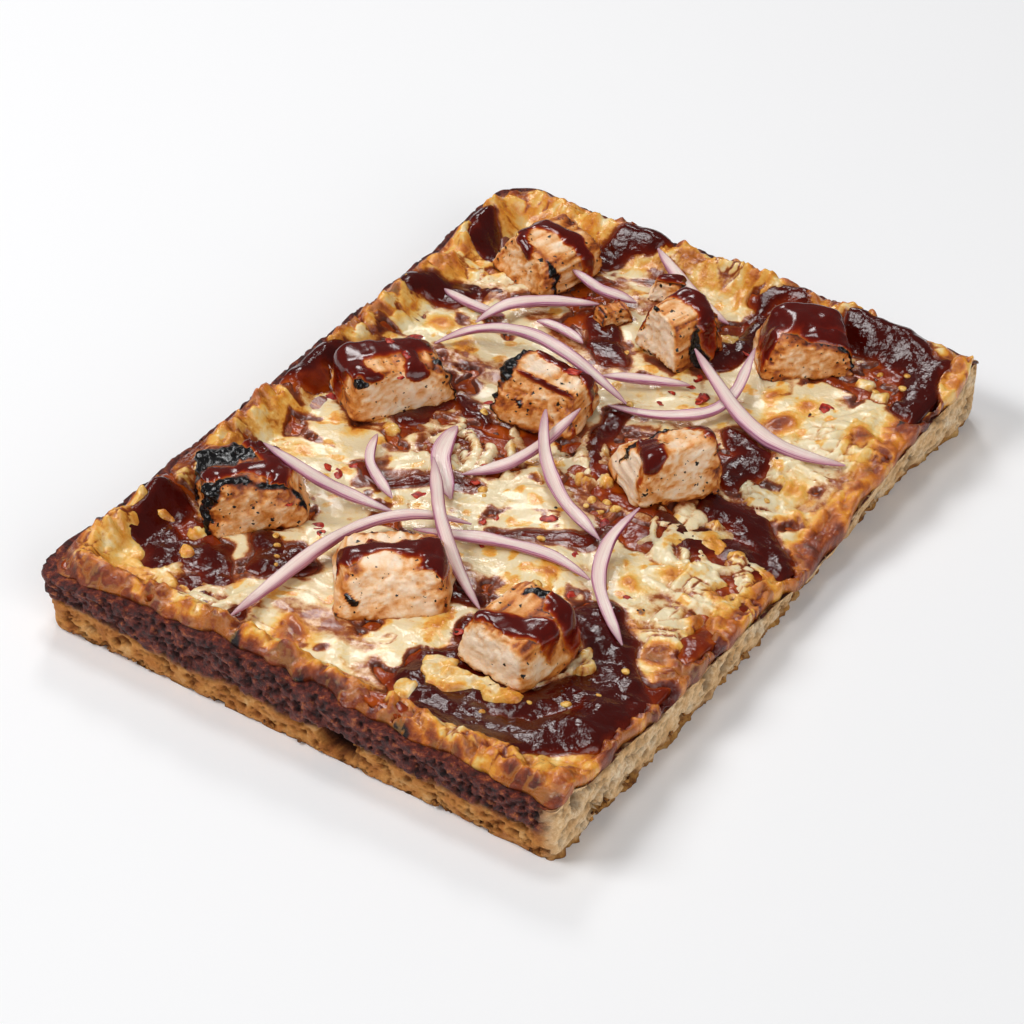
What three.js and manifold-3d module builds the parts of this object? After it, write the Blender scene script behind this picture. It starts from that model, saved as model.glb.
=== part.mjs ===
// Rectangular slice of pan pizza: a thick baked slab with a fried cheese rim on three sides and a
// cut face on the fourth, tomato sauce, melted cheese, diced grilled chicken and red onion strips.
// Millimetres, +Z up. It rests on Z 0 with the origin under its middle. The front rim looks to -Y
// and the cut face to +X.
import * as THREE from "three";
import { mergeVertices } from "three/addons/utils/BufferGeometryUtils.js";
import Module from "manifold-3d";

const wasm = await Module();
wasm.setup();
const { smoothstep, lerp, degToRad } = THREE.MathUtils;

// Base of the slab: half of a pan of 9 by 13 inches, cut across its long side
const CUT = 83;
const LEFT = -86;
const FRONT = -113;
const BACK = 117;
const PAN_CORNER = 14;
const CUT_CORNER = 3;

// Heights and layers
const FLOOR = 13.5; // bread under the sauce
const SAUCE = 1.0;
const CHEESE = 2.4;
const GAP = 0.3; // between neighbouring solids
const CLOSE = 0.06; // a trimmed layer keeps this much less than the gap, so its own faces stay whole
const TOPPING = SAUCE + CHEESE + 2 * GAP;
const RIM_LOW = 21;
const RIM_FRONT_RISE = 4.4; // the front rim swells at its middle
const RIM_BACK_RISE = 2;
const RIM_CREST = 5; // width of the full height of the rim, from the wall
const RIM_WIDTH = 15;
const RIM_ROUND = 1.4; // how far the edge of the rim falls off
const FLARE = 2.5; // the baked walls lean out
const TUCK = 3.2; // rounded foot of the baked walls
const BOW = 3.4; // the foot of the cut face curves in

// Top edge of the cut face, as [y, z], from front to back
const CUT_TOP = [
  [-114, 22],
  [-85, 20.4],
  [-62, 17.4],
  [-22, 16.4],
  [-8, 14.4],
  [14, 11.4],
  [31, 11.4],
  [48, 17.4],
  [62, 19.2],
  [87, 20.4],
  [114, 20.8],
];

// Mesh density of the lofted layers: shares of the wall's height, then rings as [distance from the
// cut face, distance from the baked walls], then the innermost of them shrunk to these shares
const LONG_STEPS = 16;
const SHORT_STEPS = 12;
const ARC_STEPS = 3;
const WALL_ROWS = [0, 0.1, 0.3, 0.6, 0.87, 1];
const CRUST_RINGS = [[0.4, 1.5], [0.8, 5], [1.2, 9], [13, 13]];
const SAUCE_RINGS = CRUST_RINGS.slice(2);
const CHEESE_RINGS = CRUST_RINGS.slice(1);
const COARSE_SHRINK = [0.68, 0.34];
const FINE_SHRINK = [0.86, 0.7, 0.53, 0.36, 0.18];

// Even lumps of about the given size, between -1 and 1 nearly everywhere
function bumps(x, y, size, seed) {
  const count = 6;
  let sum = 0;
  for (let k = 1; k <= count; k++) {
    const angle = seed + 2.4 * k;
    const reach = (size / (2 * Math.PI)) * (0.7 + 0.13 * k);
    const along = x * Math.cos(angle) + y * Math.sin(angle);
    sum += Math.sin(along / reach + 1.7 * seed * k);
  }
  return sum / 3.5;
}

// Smooth value between [position, value] keys
function between(keys, at) {
  const next = keys.findIndex(([place]) => place >= at);
  if (next === 0) return keys[0][1];
  if (next < 0) return keys[keys.length - 1][1];
  const [from, low] = keys[next - 1];
  const [to, high] = keys[next];
  return lerp(low, high, smoothstep(at, from, to));
}

// Distance in from the nearest baked wall, round at the pan corners
function inset(x, y) {
  const side = x - LEFT;
  const end = Math.min(y - FRONT, BACK - y);
  if (side > PAN_CORNER || end > PAN_CORNER) return Math.min(side, end);
  return PAN_CORNER - Math.hypot(PAN_CORNER - side, PAN_CORNER - end);
}

function rimCrest(x, y) {
  const front = (1 - smoothstep(y, -105, -70)) * Math.exp(-(((x + 25) / 45) ** 2));
  const back = smoothstep(y, 70, 105) * (1 - smoothstep(x, 20, 70));
  return RIM_LOW + RIM_FRONT_RISE * front + RIM_BACK_RISE * back;
}

function crustTop(x, y) {
  const sag = smoothstep(x, 30, CUT);
  const floor = lerp(FLOOR, between(CUT_TOP, y) - TOPPING, sag);
  const d = inset(x, y);
  const rim = 1 - smoothstep(d, RIM_CREST, RIM_WIDTH);
  const lumps = 0.9 * bumps(x, y, 13, 1) * rim;
  const edge = RIM_ROUND * (1 - smoothstep(d, 0, RIM_CREST));
  return floor + (rimCrest(x, y) - floor + lumps) * rim - edge * rim;
}

const sauceTop = (x, y) => crustTop(x, y) + GAP + SAUCE;

function cheeseTop(x, y) {
  const mounds = 0.6 * bumps(x, y, 26, 5) + 0.3 * bumps(x, y, 11, 9);
  const thinning = 0.5 + 0.5 * smoothstep(inset(x, y), RIM_CREST, RIM_WIDTH);
  return sauceTop(x, y) + GAP + (CHEESE + mounds) * thinning;
}

// Closed body through loops of equally many points, each end closed by a fan round its middle. A
// quad is split by its place in plan, so that surfaces over the same rings never cross.
function loft(loops) {
  const count = loops[0].length;
  const points = loops.flat();
  const triangles = [];
  loops.slice(1).forEach((_, row) => {
    for (let i = 0; i < count; i++) {
      const a = row * count + i;
      const b = row * count + ((i + 1) % count);
      const [c, d] = [b + count, a + count];
      const split = slope(points[a], points[c]) >= slope(points[b], points[d]);
      triangles.push(...(split ? [[a, b, c], [a, c, d]] : [[a, b, d], [b, c, d]]));
    }
  });
  [loops[0], loops[loops.length - 1]].forEach((loop, last) => {
    const middle = points.length;
    const start = last * (loops.length - 1) * count;
    points.push(loop.reduce((sum, p) => sum.add(p), new THREE.Vector3()).divideScalar(count));
    for (let i = 0; i < count; i++) {
      const pair = [start + i, start + ((i + 1) % count)];
      triangles.push(last ? [pair[0], pair[1], middle] : [pair[1], pair[0], middle]);
    }
  });
  let volume = 0;
  for (const [a, b, c] of triangles) {
    volume += points[a].dot(points[b].clone().cross(points[c]));
  }
  if (volume < 0) triangles.forEach((face) => face.reverse());
  return solid(
    points.flatMap((p) => [p.x, p.y, p.z]),
    triangles.flat(),
  );
}

const slope = (p, q) => (q.x - p.x) * (q.y - p.y);

function solid(vertices, triangles) {
  const mesh = new wasm.Mesh({
    numProp: 3,
    vertProperties: new Float32Array(vertices),
    triVerts: new Uint32Array(triangles),
  });
  return new wasm.Manifold(mesh);
}

function solidFromGeometry(geometry) {
  geometry.deleteAttribute("normal");
  geometry.deleteAttribute("uv");
  const merged = mergeVertices(geometry, 1e-3);
  return solid(merged.attributes.position.array, merged.index.array);
}

function largestBody(body) {
  const bodies = body.decompose();
  return bodies.reduce((a, b) => (b.volume() > a.volume() ? b : a));
}

// Plan outline, anticlockwise, as points with the outward normal and a share that says how far the
// wall is baked rather than cut
function outline() {
  const corners = [
    { x: CUT, y: BACK, radius: CUT_CORNER, arc: 1, side: SHORT_STEPS },
    { x: LEFT, y: BACK, radius: PAN_CORNER, arc: ARC_STEPS, side: LONG_STEPS },
    { x: LEFT, y: FRONT, radius: PAN_CORNER, arc: ARC_STEPS, side: SHORT_STEPS },
    { x: CUT, y: FRONT, radius: CUT_CORNER, arc: 1, side: LONG_STEPS },
  ];
  const onArc = ({ x, y, radius }, angle) => ({
    x: x - Math.sign(x) * radius + radius * Math.cos(angle),
    y: y - Math.sign(y) * radius + radius * Math.sin(angle),
    nx: Math.cos(angle),
    ny: Math.sin(angle),
  });
  const points = corners.flatMap((corner, i) => {
    const turn = (share) => (i + share) * (Math.PI / 2);
    const arc = [...Array(corner.arc).keys()].map((j) => onArc(corner, turn(j / corner.arc)));
    const start = onArc(corner, turn(1));
    const end = onArc(corners[(i + 1) % corners.length], turn(1));
    const side = [...Array(corner.side).keys()].map((j) => ({
      ...start,
      x: lerp(start.x, end.x, j / corner.side),
      y: lerp(start.y, end.y, j / corner.side),
    }));
    return [...arc, ...side];
  });
  return points.map((p) => ({ ...p, baked: smoothstep(CUT - p.x, 0, 6) }));
}
const OUTLINE = outline();

// Loops over a surface from its outer edge to the middle
function surfaceLoops(height, rings, shrink) {
  const rows = rings.map(([cut, baked]) =>
    OUTLINE.map((p) => [
      lerp(LEFT + baked, CUT - cut, (p.x - LEFT) / (CUT - LEFT)),
      lerp(FRONT + baked, BACK - baked, (p.y - FRONT) / (BACK - FRONT)),
    ]),
  );
  const last = rows[rows.length - 1];
  const inner = shrink.map((k) => last.map(([x, y]) => [x * k, y * k]));
  return [...rows, ...inner].map((row) => row.map(([x, y]) => new THREE.Vector3(x, y, height(x, y))));
}

// Pits of the bread where they show: a row of pores in the cut face, another in the front wall, and
// the one large blister hole low in the front wall
const CUT_PORES = { count: 10, first: -98, spacing: 21, size: [2.2, 3.4, 1.8], height: 6 };
const FRONT_PORES = { count: 6, first: -68, spacing: 25, size: [2.6, 1.8, 1.5], height: 7 };
const BLISTER = { at: [17, FRONT - 1, 5.5], size: [6.5, 4, 3] };

function pit(at, size) {
  const ball = new THREE.SphereGeometry(1, 6, 4).scale(...size);
  return solidFromGeometry(ball).translate(at);
}

function pores() {
  const inCut = [...Array(CUT_PORES.count).keys()].map((i) => {
    const y = CUT_PORES.first + CUT_PORES.spacing * i + 4 * bumps(i, 0, 3, 2);
    const z = CUT_PORES.height + 2.5 * bumps(0, i, 3, 4);
    const inwards = 0.6 + cutBow(y, z / between(CUT_TOP, y));
    return pit([CUT - inwards, y, z], CUT_PORES.size);
  });
  const inFront = [...Array(FRONT_PORES.count).keys()].map((i) => {
    const x = FRONT_PORES.first + FRONT_PORES.spacing * i;
    return pit([x, FRONT - 1, FRONT_PORES.height + 2 * bumps(x, 0, 30, 6)], FRONT_PORES.size);
  });
  return [...inCut, ...inFront, pit(BLISTER.at, BLISTER.size)];
}

// How far the cut face curves in, at a share of its height
function cutBow(y, share) {
  const belly = smoothstep(y, -20, 40) * (1 - smoothstep(y, 70, 112));
  return BOW * belly * (1 - share);
}

function crust() {
  const wall = WALL_ROWS.map((share) =>
    OUTLINE.map((p) => {
      const lump = 0.7 * bumps(p.x + p.y, 40 * share, 12, 3) * (share > 0);
      const bakedOut = FLARE * share - TUCK * (1 - smoothstep(share, 0, 0.28)) + lump;
      const cutOut = 0.4 * lump * (share < 1) - cutBow(p.y, share);
      const out = lerp(cutOut, bakedOut, p.baked);
      return new THREE.Vector3(p.x + p.nx * out, p.y + p.ny * out, share * crustTop(p.x, p.y));
    }),
  );
  const top = surfaceLoops(crustTop, CRUST_RINGS, COARSE_SHRINK);
  return loft([...wall, ...top]).subtract(wasm.Manifold.union(pores()));
}

// Slab between two surfaces, with its edge on the first of the rings
function layer(bottom, top, rings, topShrink) {
  const under = surfaceLoops(bottom, rings, COARSE_SHRINK).reverse();
  return loft([...under, ...surfaceLoops(top, rings, topShrink)]);
}

// Strip along a smooth path. section(share) gives the loop across it as [across, up, from], where
// from is the surface that up is measured from, or the path itself where there is none
function strip(path, steps, section) {
  const curve = new THREE.CatmullRomCurve3(path.map((p) => new THREE.Vector3(...p)));
  const loops = [...Array(steps + 1).keys()].map((i) => {
    const share = i / steps;
    const middle = curve.getPoint(share);
    const side = curve.getTangent(share).setZ(0).normalize();
    return section(share).map(([across, up, from]) => {
      const x = middle.x - side.y * across;
      const y = middle.y + side.x * across;
      return new THREE.Vector3(x, y, (from ? from(x, y) : middle.z) + up);
    });
  });
  return loft(loops);
}

// Domed run of thick sauce on the cheese, with its foot above or below the base sauce by rise
const RUN_SINK = 0.2; // the edges of a run lie a little below the cheese
const RUN_STEPS = 2; // sections for each stretch of a run's path
const blunt = (share) => Math.sqrt(1 - (2 * share - 1) ** 4 * 0.93); // width towards blunt ends
const onPlan = (path) => path.map(([x, y]) => [x, y, 0]);
const runSteps = (path) => RUN_STEPS * (path.length - 1) + 1;

function sauceRun([halfWidth, height, path], rise) {
  const section = (share) => {
    const wide = halfWidth * blunt(share);
    const crest = height * blunt(share);
    return [
      [-wide, -RUN_SINK, cheeseTop],
      [-0.55 * wide, 0.8 * crest, cheeseTop],
      [0.55 * wide, 0.8 * crest, cheeseTop],
      [wide, -RUN_SINK, cheeseTop],
      [wide, rise, sauceTop],
      [-wide, rise, sauceTop],
    ];
  };
  return strip(onPlan(path), runSteps(path), section);
}

// What a pool takes out of the cheese
function poolRoom([halfWidth, , path]) {
  const section = (share) => {
    const wide = halfWidth * blunt(share) + GAP;
    return [
      [-wide, CHEESE, cheeseTop],
      [wide, CHEESE, cheeseTop],
      [wide, -CHEESE, sauceTop],
      [-wide, -CHEESE, sauceTop],
    ];
  };
  return strip(onPlan(path), runSteps(path), section);
}

// Pools of sauce that break through the cheese, as half width, height and path
const POOLS = [
  [6.5, 2.0, [[24, -88], [42, -98], [60, -96], [73, -86], [75, -70]]],
  [7.5, 1.4, [[52, 10], [64, 15], [76, 14]]],
  [6.0, 2.0, [[46, 106], [60, 109], [72, 102], [76, 90]]],
  [6.5, 1.6, [[-77, -92], [-69, -80], [-62, -73]]],
  [5.5, 1.8, [[-80, 54], [-74, 57], [-66, 60]]],
  [5.0, 1.4, [[-20, 62], [-15, 71], [-10, 78]]],
  [4.5, 1.4, [[14, 78], [18, 88], [19, 98]]],
  [5.0, 1.4, [[38, -2], [48, 4], [54, 12]]],
];

// Thick drizzle on the cheese, in the same form
const DRIZZLES = [
  [2.4, 1.2, [[-45, -14], [-36, -21], [-24, -28]]],
  [2.4, 1.2, [[10, -26], [21, -19], [33, -12]]],
  [2.6, 1.2, [[-64, 63], [-56, 69], [-46, 74]]],
  [2.6, 1.2, [[-74, 88], [-64, 92], [-55, 98]]],
  [2.4, 1.1, [[14, -52], [21, -44], [27, -38]]],
  [2.6, 1.2, [[-34, 108], [-26, 114], [-18, 110]]],
  [2.8, 1.2, [[3, 17], [7, 26], [11, 36]]],
  [2.6, 1.2, [[-50, -78], [-44, -73], [-38, -66]]],
];

// Diced chicken. Each piece is a block with its own size, turn and leaning faces; lean is how much
// each side tapers upwards, for the sides at +u, -u, +v and -v, and tilt is the slope of the top.
const DICE = [
  { at: [-60, -55], turn: 46, size: [28, 27, 15], lean: [0.45, 0.1, 0.1, 0.3], tilt: [0.1, 0.1] },
  { at: [-56, 9], turn: 54, size: [32, 21, 16], lean: [0.3, 0.1, 0.1, 0.15], tilt: [0.12, 0.05] },
  { at: [-53, 90], turn: -16, size: [24, 26, 14], lean: [0.2, 0.6, 0.1, 0.35], tilt: [0.2, 0.1] },
  { at: [3, 76], turn: -18, size: [18, 20, 18], lean: [0.15, 0.3, 0.1, 0.1], tilt: [0.2, 0.1] },
  { at: [36, 93], turn: 36, size: [26, 22, 14], lean: [0.2, 0.5, 0.2, 0.2], tilt: [0.15, -0.1] },
  { at: [-13, 28], turn: 8, size: [26, 20, 15], lean: [0.1, 0.1, 0.1, 0.5], tilt: [0.15, 0.2] },
  { at: [34, 19], turn: 52, size: [26, 21, 18], lean: [0.1, 0.3, 0.5, 0.1], tilt: [-0.1, 0.35] },
  { at: [-5, -62], turn: 36, size: [31, 25, 13], lean: [0.3, 0.3, 0.2, 0.6], tilt: [0, 0.1] },
  { at: [41, -67], turn: -8, size: [23, 25, 17], lean: [0.2, 0.3, 0.2, 0.2], tilt: [0.15, -0.1] },
  { at: [-15, 97], turn: 20, size: [12, 7, 8], lean: [0.3, 0.3, 0.3, 0.3], tilt: [0, 0] },
  { at: [-23, 78], turn: 60, size: [11, 8, 6], lean: [0.3, 0.3, 0.3, 0.3], tilt: [0, 0] },
];
const DICE_SINK = 1.0; // how far a piece sits in the cheese
const DICE_FACETS = 4;
const SMALL_DICE = 15; // pieces under this length have fewer facets
const EDGE_SHARPNESS = 9; // higher leaves sharper edges

// The faces of a piece as outward normals with their distance from its middle
function diceFaces({ size: [long, wide, high], lean, tilt }) {
  const [right, left, back, front] = lean;
  const faces = [
    [[1, 0, right], long / 2],
    [[-1, 0, left], long / 2],
    [[0, 1, back], wide / 2],
    [[0, -1, front], wide / 2],
    [[tilt[0], tilt[1], 1], high / 2],
    [[0, 0, -1], high / 2],
  ];
  return faces.map(([normal, reach]) => {
    const n = new THREE.Vector3(...normal);
    const length = n.length();
    return { normal: n.divideScalar(length), reach: reach / length };
  });
}

function dice(piece, grow = 0) {
  const faces = diceFaces(piece);
  const [long, wide, high] = piece.size;
  const facets = long < SMALL_DICE ? 2 : DICE_FACETS;
  const block = new THREE.BoxGeometry(long, wide, high, facets, facets, facets);
  const position = block.attributes.position;
  const p = new THREE.Vector3();
  for (let i = 0; i < position.count; i++) {
    p.fromBufferAttribute(position, i).normalize();
    let sum = 0;
    for (const { normal, reach } of faces) {
      sum += Math.max(0, p.dot(normal) / (reach + grow)) ** EDGE_SHARPNESS;
    }
    p.multiplyScalar(sum ** (-1 / EDGE_SHARPNESS));
    p.multiplyScalar(1 + 0.02 * bumps(p.x + 3 * p.z, p.y - 2 * p.z, 9, long));
    position.setXYZ(i, p.x, p.y, p.z);
  }
  const [x, y] = piece.at;
  const z = cheeseTop(x, y) - DICE_SINK + high / 2;
  block.rotateZ(degToRad(piece.turn)).translate(x, y, z);
  return solidFromGeometry(block);
}

// Red onion strips, as the half width and the path of the strip's middle
const ONIONS = [
  [2.1, [[-30, -102, 20], [-31, -80, 21], [-28, -60, 23], [-21, -46, 24.5], [-11, -35, 23.5], [0, -31, 21]]],
  [2.0, [[-13, -41, 20], [-2, -37, 20], [7, -33, 20], [19, -30, 20], [30, -29, 20], [40, -32, 20]]],
  [2.0, [[-30, 5, 20], [-27, -8, 21], [-20, -17, 20], [-12, -24, 20]]],
  [2.0, [[-25, -14, 23], [-16, -25, 24], [-7, -37, 27], [1, -44, 24], [8, -50, 22], [22, -59, 20]]],
  [2.0, [[-61, -46, 33], [-46, -45, 27], [-34, -40, 21], [-22, -38, 20]]],
  [2.2, [[-5, 14, 31], [-2, 8, 27.5], [3, 2, 22], [14, -7, 20], [24, -12, 20], [33, -16, 20]]],
  [2.0, [[-16, -13, 20], [-9, -4, 20], [-5, 4, 21.5], [-2, 9, 24], [1, 14, 28.5], [3, 20, 31]]],
  [2.0, [[39, -5, 27], [37, -12, 24], [37, -19, 22], [41, -30, 20], [50, -40, 20], [62, -50, 20]]],
  [2.2, [[-59, 35, 20], [-55, 43, 21], [-44, 46, 25], [-29, 42, 31], [-15, 37, 34], [-2, 38, 28], [8, 37, 24]]],
  [1.8, [[-73, 60, 20], [-62, 58, 20], [-50, 59, 20]]],
  [2.2, [[-55, 51, 20], [-52, 59, 22.5], [-46, 67, 22], [-38, 74, 21], [-29, 80, 20]]],
  [2.0, [[-42, 85, 25], [-36, 84, 23], [-29, 84, 21], [-20, 87, 20]]],
  [2.1, [[-26, 109, 22], [-12, 101, 23], [0, 94, 23], [10, 92, 21]]],
  [1.6, [[-7, 47, 22], [2, 54, 20], [16, 60, 20]]],
  [1.9, [[1, 38, 20], [12, 39, 20], [25, 45, 21], [30, 52, 21], [31, 61, 22], [28, 72, 23], [25, 82, 24]]],
  [2.3, [[13, 67, 28], [25, 60, 25], [39, 52, 22], [56, 48, 20], [73, 52, 20]]],
  [1.6, [[-47, -11, 20], [-44, -20, 20], [-37, -27, 20], [-26, -33, 20]]],
  [1.8, [[-40, 62, 20], [-32, 63, 20], [-22, 60, 20]]],
];
const ONION_THICKNESS = 1.7;
const ONION_CLEARANCE = 2.4; // height of a strip's middle above the cheese, at least

function onion([halfWidth, path], grow = 0) {
  const thick = ONION_THICKNESS / 2 + grow;
  const section = (share) => {
    const round = Math.sqrt(1 - (2 * share - 1) ** 6 * 0.9);
    const wide = halfWidth * round + grow;
    return [
      [wide, -0.2 * thick],
      [0.45 * wide, thick],
      [-0.45 * wide, thick],
      [-wide, -0.2 * thick],
      [0, -thick],
    ];
  };
  const lifted = path.map(([x, y, z]) => [x, y, Math.max(z, cheeseTop(x, y) + ONION_CLEARANCE)]);
  return strip(lifted, 2 * path.length, section);
}

// Chilli flakes and seeds that lie on the cheese, as [x, y]
const FLAKES = [
  [-45, -25], [-50, -30], [2, -22], [0, -26], [15, -14], [30, -24], [38, -38], [-37, -53],
  [12, 50], [21, 58], [15, 66], [-12, -12],
];
const SEEDS = [
  [-44, -64], [-36, -74], [28, -40], [68, -58], [55, -84], [-6, -16], [17, -28], [20, 0],
  [27, -4], [60, 96], [60, 30], [-60, 44],
];

function crumb([x, y], index, size) {
  const piece = new THREE.OctahedronGeometry(1).scale(...size);
  piece.rotateY(0.4 * Math.sin(index)).rotateZ(index * 2.4);
  piece.translate(x, y, cheeseTop(x, y) + size[2] * 0.4);
  return solidFromGeometry(piece);
}

const bread = crust();
const breadRoom = bread.translate([0, 0, GAP]);

const chickens = DICE.map((piece) => ({
  body: largestBody(dice(piece).subtract(breadRoom)),
  room: dice(piece, GAP),
}));
const chickenRoom = wasm.Manifold.union(chickens.map((c) => c.room));

// Each strip is cut clear of the chicken and of the strips under it
const onions = [];
for (const [index, piece] of ONIONS.entries()) {
  const taken = [chickenRoom, ...onions.map((o) => o.room)];
  const body = largestBody(onion(piece).subtract(wasm.Manifold.union(taken)));
  onions.push({ name: `onion_${index + 1}`, body, room: onion(piece, GAP) });
}
const onionRoom = wasm.Manifold.union(onions.map((o) => o.room));

const pools = POOLS.map((pool) => sauceRun(pool, -0.5 * SAUCE));
const sauceFoot = (x, y) => crustTop(x, y) + GAP;
const sauceSlab = layer(sauceFoot, sauceTop, SAUCE_RINGS, COARSE_SHRINK);
const sauce = wasm.Manifold.union([sauceSlab, ...pools])
  .subtract(chickenRoom)
  .subtract(onionRoom)
  .subtract(breadRoom.translate([0, 0, -CLOSE]));

const cheeseFoot = (x, y) => sauceTop(x, y) + GAP;
const cheeseSlab = layer(cheeseFoot, cheeseTop, CHEESE_RINGS, FINE_SHRINK);
const drizzles = DRIZZLES.map((drizzle) => sauceRun(drizzle, 2 * GAP));
const crumbs = [
  ...FLAKES.map((at, i) => crumb(at, i, [2, 1.4, 0.8])),
  ...SEEDS.map((at, i) => crumb(at, i, [1.2, 0.9, 0.8])),
];
const cheese = wasm.Manifold.union([cheeseSlab, ...drizzles, ...crumbs])
  .subtract(wasm.Manifold.union([chickenRoom, onionRoom, ...POOLS.map(poolRoom)]))
  .subtract(sauceSlab.translate([0, 0, GAP - CLOSE]))
  .subtract(breadRoom.translate([0, 0, -CLOSE]));

const MATERIALS = {
  crust: { color: 0xc08a4a, roughness: 0.85 },
  sauce: { color: 0x43110a, roughness: 0.15 },
  cheese: { color: 0xf0dcae, roughness: 0.4 },
  chicken: { color: 0xd8ab7c, roughness: 0.55 },
  onion: { color: 0xd9b7c6, roughness: 0.35 },
};

const pizza = new THREE.Group();
pizza.name = "pizza_slice";

function show(name, finish, body) {
  const { vertProperties, triVerts } = body.getMesh();
  const geometry = new THREE.BufferGeometry();
  geometry.setAttribute("position", new THREE.BufferAttribute(vertProperties, 3));
  geometry.setIndex(new THREE.BufferAttribute(triVerts, 1));
  geometry.computeVertexNormals();
  const material = new THREE.MeshStandardMaterial({ ...MATERIALS[finish], metalness: 0 });
  const mesh = new THREE.Mesh(geometry, material);
  mesh.name = name;
  pizza.add(mesh);
}

show("crust", "crust", bread);
show("sauce", "sauce", largestBody(sauce));
show("cheese", "cheese", largestBody(cheese));
chickens.forEach(({ body }, i) => show(`chicken_${i + 1}`, "chicken", body));
onions.forEach(({ name, body }) => show(name, "onion", body));

export default pizza;
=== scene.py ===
import itertools
import math

import bmesh
import bpy
import numpy as np
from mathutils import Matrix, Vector
from mathutils.bvhtree import BVHTree


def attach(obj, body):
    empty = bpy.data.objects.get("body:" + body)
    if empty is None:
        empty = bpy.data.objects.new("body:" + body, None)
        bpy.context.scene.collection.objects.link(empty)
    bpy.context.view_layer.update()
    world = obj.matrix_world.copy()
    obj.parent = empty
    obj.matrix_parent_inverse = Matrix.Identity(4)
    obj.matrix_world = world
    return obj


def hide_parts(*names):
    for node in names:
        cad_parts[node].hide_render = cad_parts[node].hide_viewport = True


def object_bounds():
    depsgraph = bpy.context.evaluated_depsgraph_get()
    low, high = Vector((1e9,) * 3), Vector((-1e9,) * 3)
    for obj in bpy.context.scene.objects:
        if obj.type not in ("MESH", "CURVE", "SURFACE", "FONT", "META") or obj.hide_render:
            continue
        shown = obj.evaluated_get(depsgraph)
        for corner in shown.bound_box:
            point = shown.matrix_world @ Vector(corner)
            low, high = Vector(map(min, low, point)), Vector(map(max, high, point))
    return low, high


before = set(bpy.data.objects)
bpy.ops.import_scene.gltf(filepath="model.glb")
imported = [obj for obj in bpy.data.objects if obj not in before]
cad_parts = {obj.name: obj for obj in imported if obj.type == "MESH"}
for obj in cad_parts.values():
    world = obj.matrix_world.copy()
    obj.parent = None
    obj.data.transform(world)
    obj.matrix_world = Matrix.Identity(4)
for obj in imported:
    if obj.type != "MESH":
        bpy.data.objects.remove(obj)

cad_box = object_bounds()

# Bread
# A thick slab of wet dough, baked in an oiled steel pan until three of its walls fry golden brown,
# then cut across, so that the fourth wall is pale open crumb. The fried cheese that ran down between
# dough and pan has caramelised into a dark pitted band along the top of the baked walls.

# All sizes are in mm: X towards the cut, Y towards the back, Z up from the floor
MM = 0.001
# Foot lines of the four walls, and the corner radii in plan
LEFT, CUT, FRONT, BACK = -86.0, 83.0, -113.0, 117.0
PAN_CORNER, FRONT_CORNER, BACK_CORNER, CUT_CORNER = 14.0, 4.5, 8.0, 3.0
# Bread under the toppings, the two layers on it, and the gap between layers
BED, SAUCE, CHEESE, GAP = 13.5, 1.0, 2.4, 0.3
TOPPING = SAUCE + CHEESE + 2 * GAP
# Rim: its height, how much higher it is at front and back, and how far in its crest and slope reach
RIM_LOW, RIM_FRONT_RISE, RIM_BACK_RISE = 21.0, 4.4, 2.0
RIM_CREST, RIM_WIDTH, RIM_ROUND = 5.0, 15.0, 1.4
# Walls: the baked ones lean out and tuck in at the foot, the cut one is hollow at its foot
FLARE, TUCK, BOW = 1.9, 0.5, 3.4
# Top of the cut edge, as Y and height
CUT_TOP = [
    (-114, 22), (-85, 20.4), (-62, 17.4), (-22, 16.4), (-8, 14.4), (14, 11.4), (31, 11.4), (48, 17.4),
    (62, 19.2), (87, 20.4), (114, 20.8),
]
# Mesh of the walls: the step along them in mm, and the rows up them
WALL_STEP, WALL_ROWS = 0.75, 34
# Where the caramelised band starts, and how much higher it does at the front left corner
HEEL_HEIGHT, HEEL_CORNER = 9.6, 3.2
# Depths: bubbles in the band, oval and tiny pits below it, and the pores of the cut
BUBBLE_DEPTH, OVAL_DEPTH, TINY_DEPTH = 1.5, 1.5, 0.7
PORE_DEPTH, FINE_PORE_DEPTH = 3.4, 0.8
# The burst blister in the front wall: its middle in X and Z, its half length and height, its depth
BLISTER_AT, BLISTER_HALF, BLISTER_DEPTH = (13.6, 7.6), (7.4, 5.0), 7.5


def ramp(value, low, high):
    """Smooth step from 0 at low to 1 at high."""
    share = np.clip((value - low) / (high - low), 0, 1)
    return share * share * (3 - 2 * share)


def mixed(low, high, share):
    """Value from low, at a share of 0, to high, at 1."""
    return low + (high - low) * share


def bumps(x, y, size, seed):
    """Even lumps of about the given size in mm, the same as those of the solids."""
    total = 0
    for k in range(1, 7):
        angle = seed + 2.4 * k
        reach = size / (2 * math.pi) * (0.7 + 0.13 * k)
        along = x * math.cos(angle) + y * math.sin(angle)
        total = total + np.sin(along / reach + 1.7 * seed * k)
    return total / 3.5


def hashed(cell, seed):
    """Repeatable random numbers from 0 to 1, one for each whole-number lattice point."""
    mix = cell[..., 0] * 374761393 + cell[..., 1] * 668265263 + cell[..., 2] * 1440662683
    mix = (mix + seed * 1274126177) & 0xFFFFFFFF
    mix = ((mix ^ (mix >> 13)) * 1103515245) & 0xFFFFFFFF
    mix = ((mix ^ (mix >> 15)) * 668265263) & 0xFFFFFFFF
    return ((mix >> 8) & 0xFFFF) / 65535.0


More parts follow.
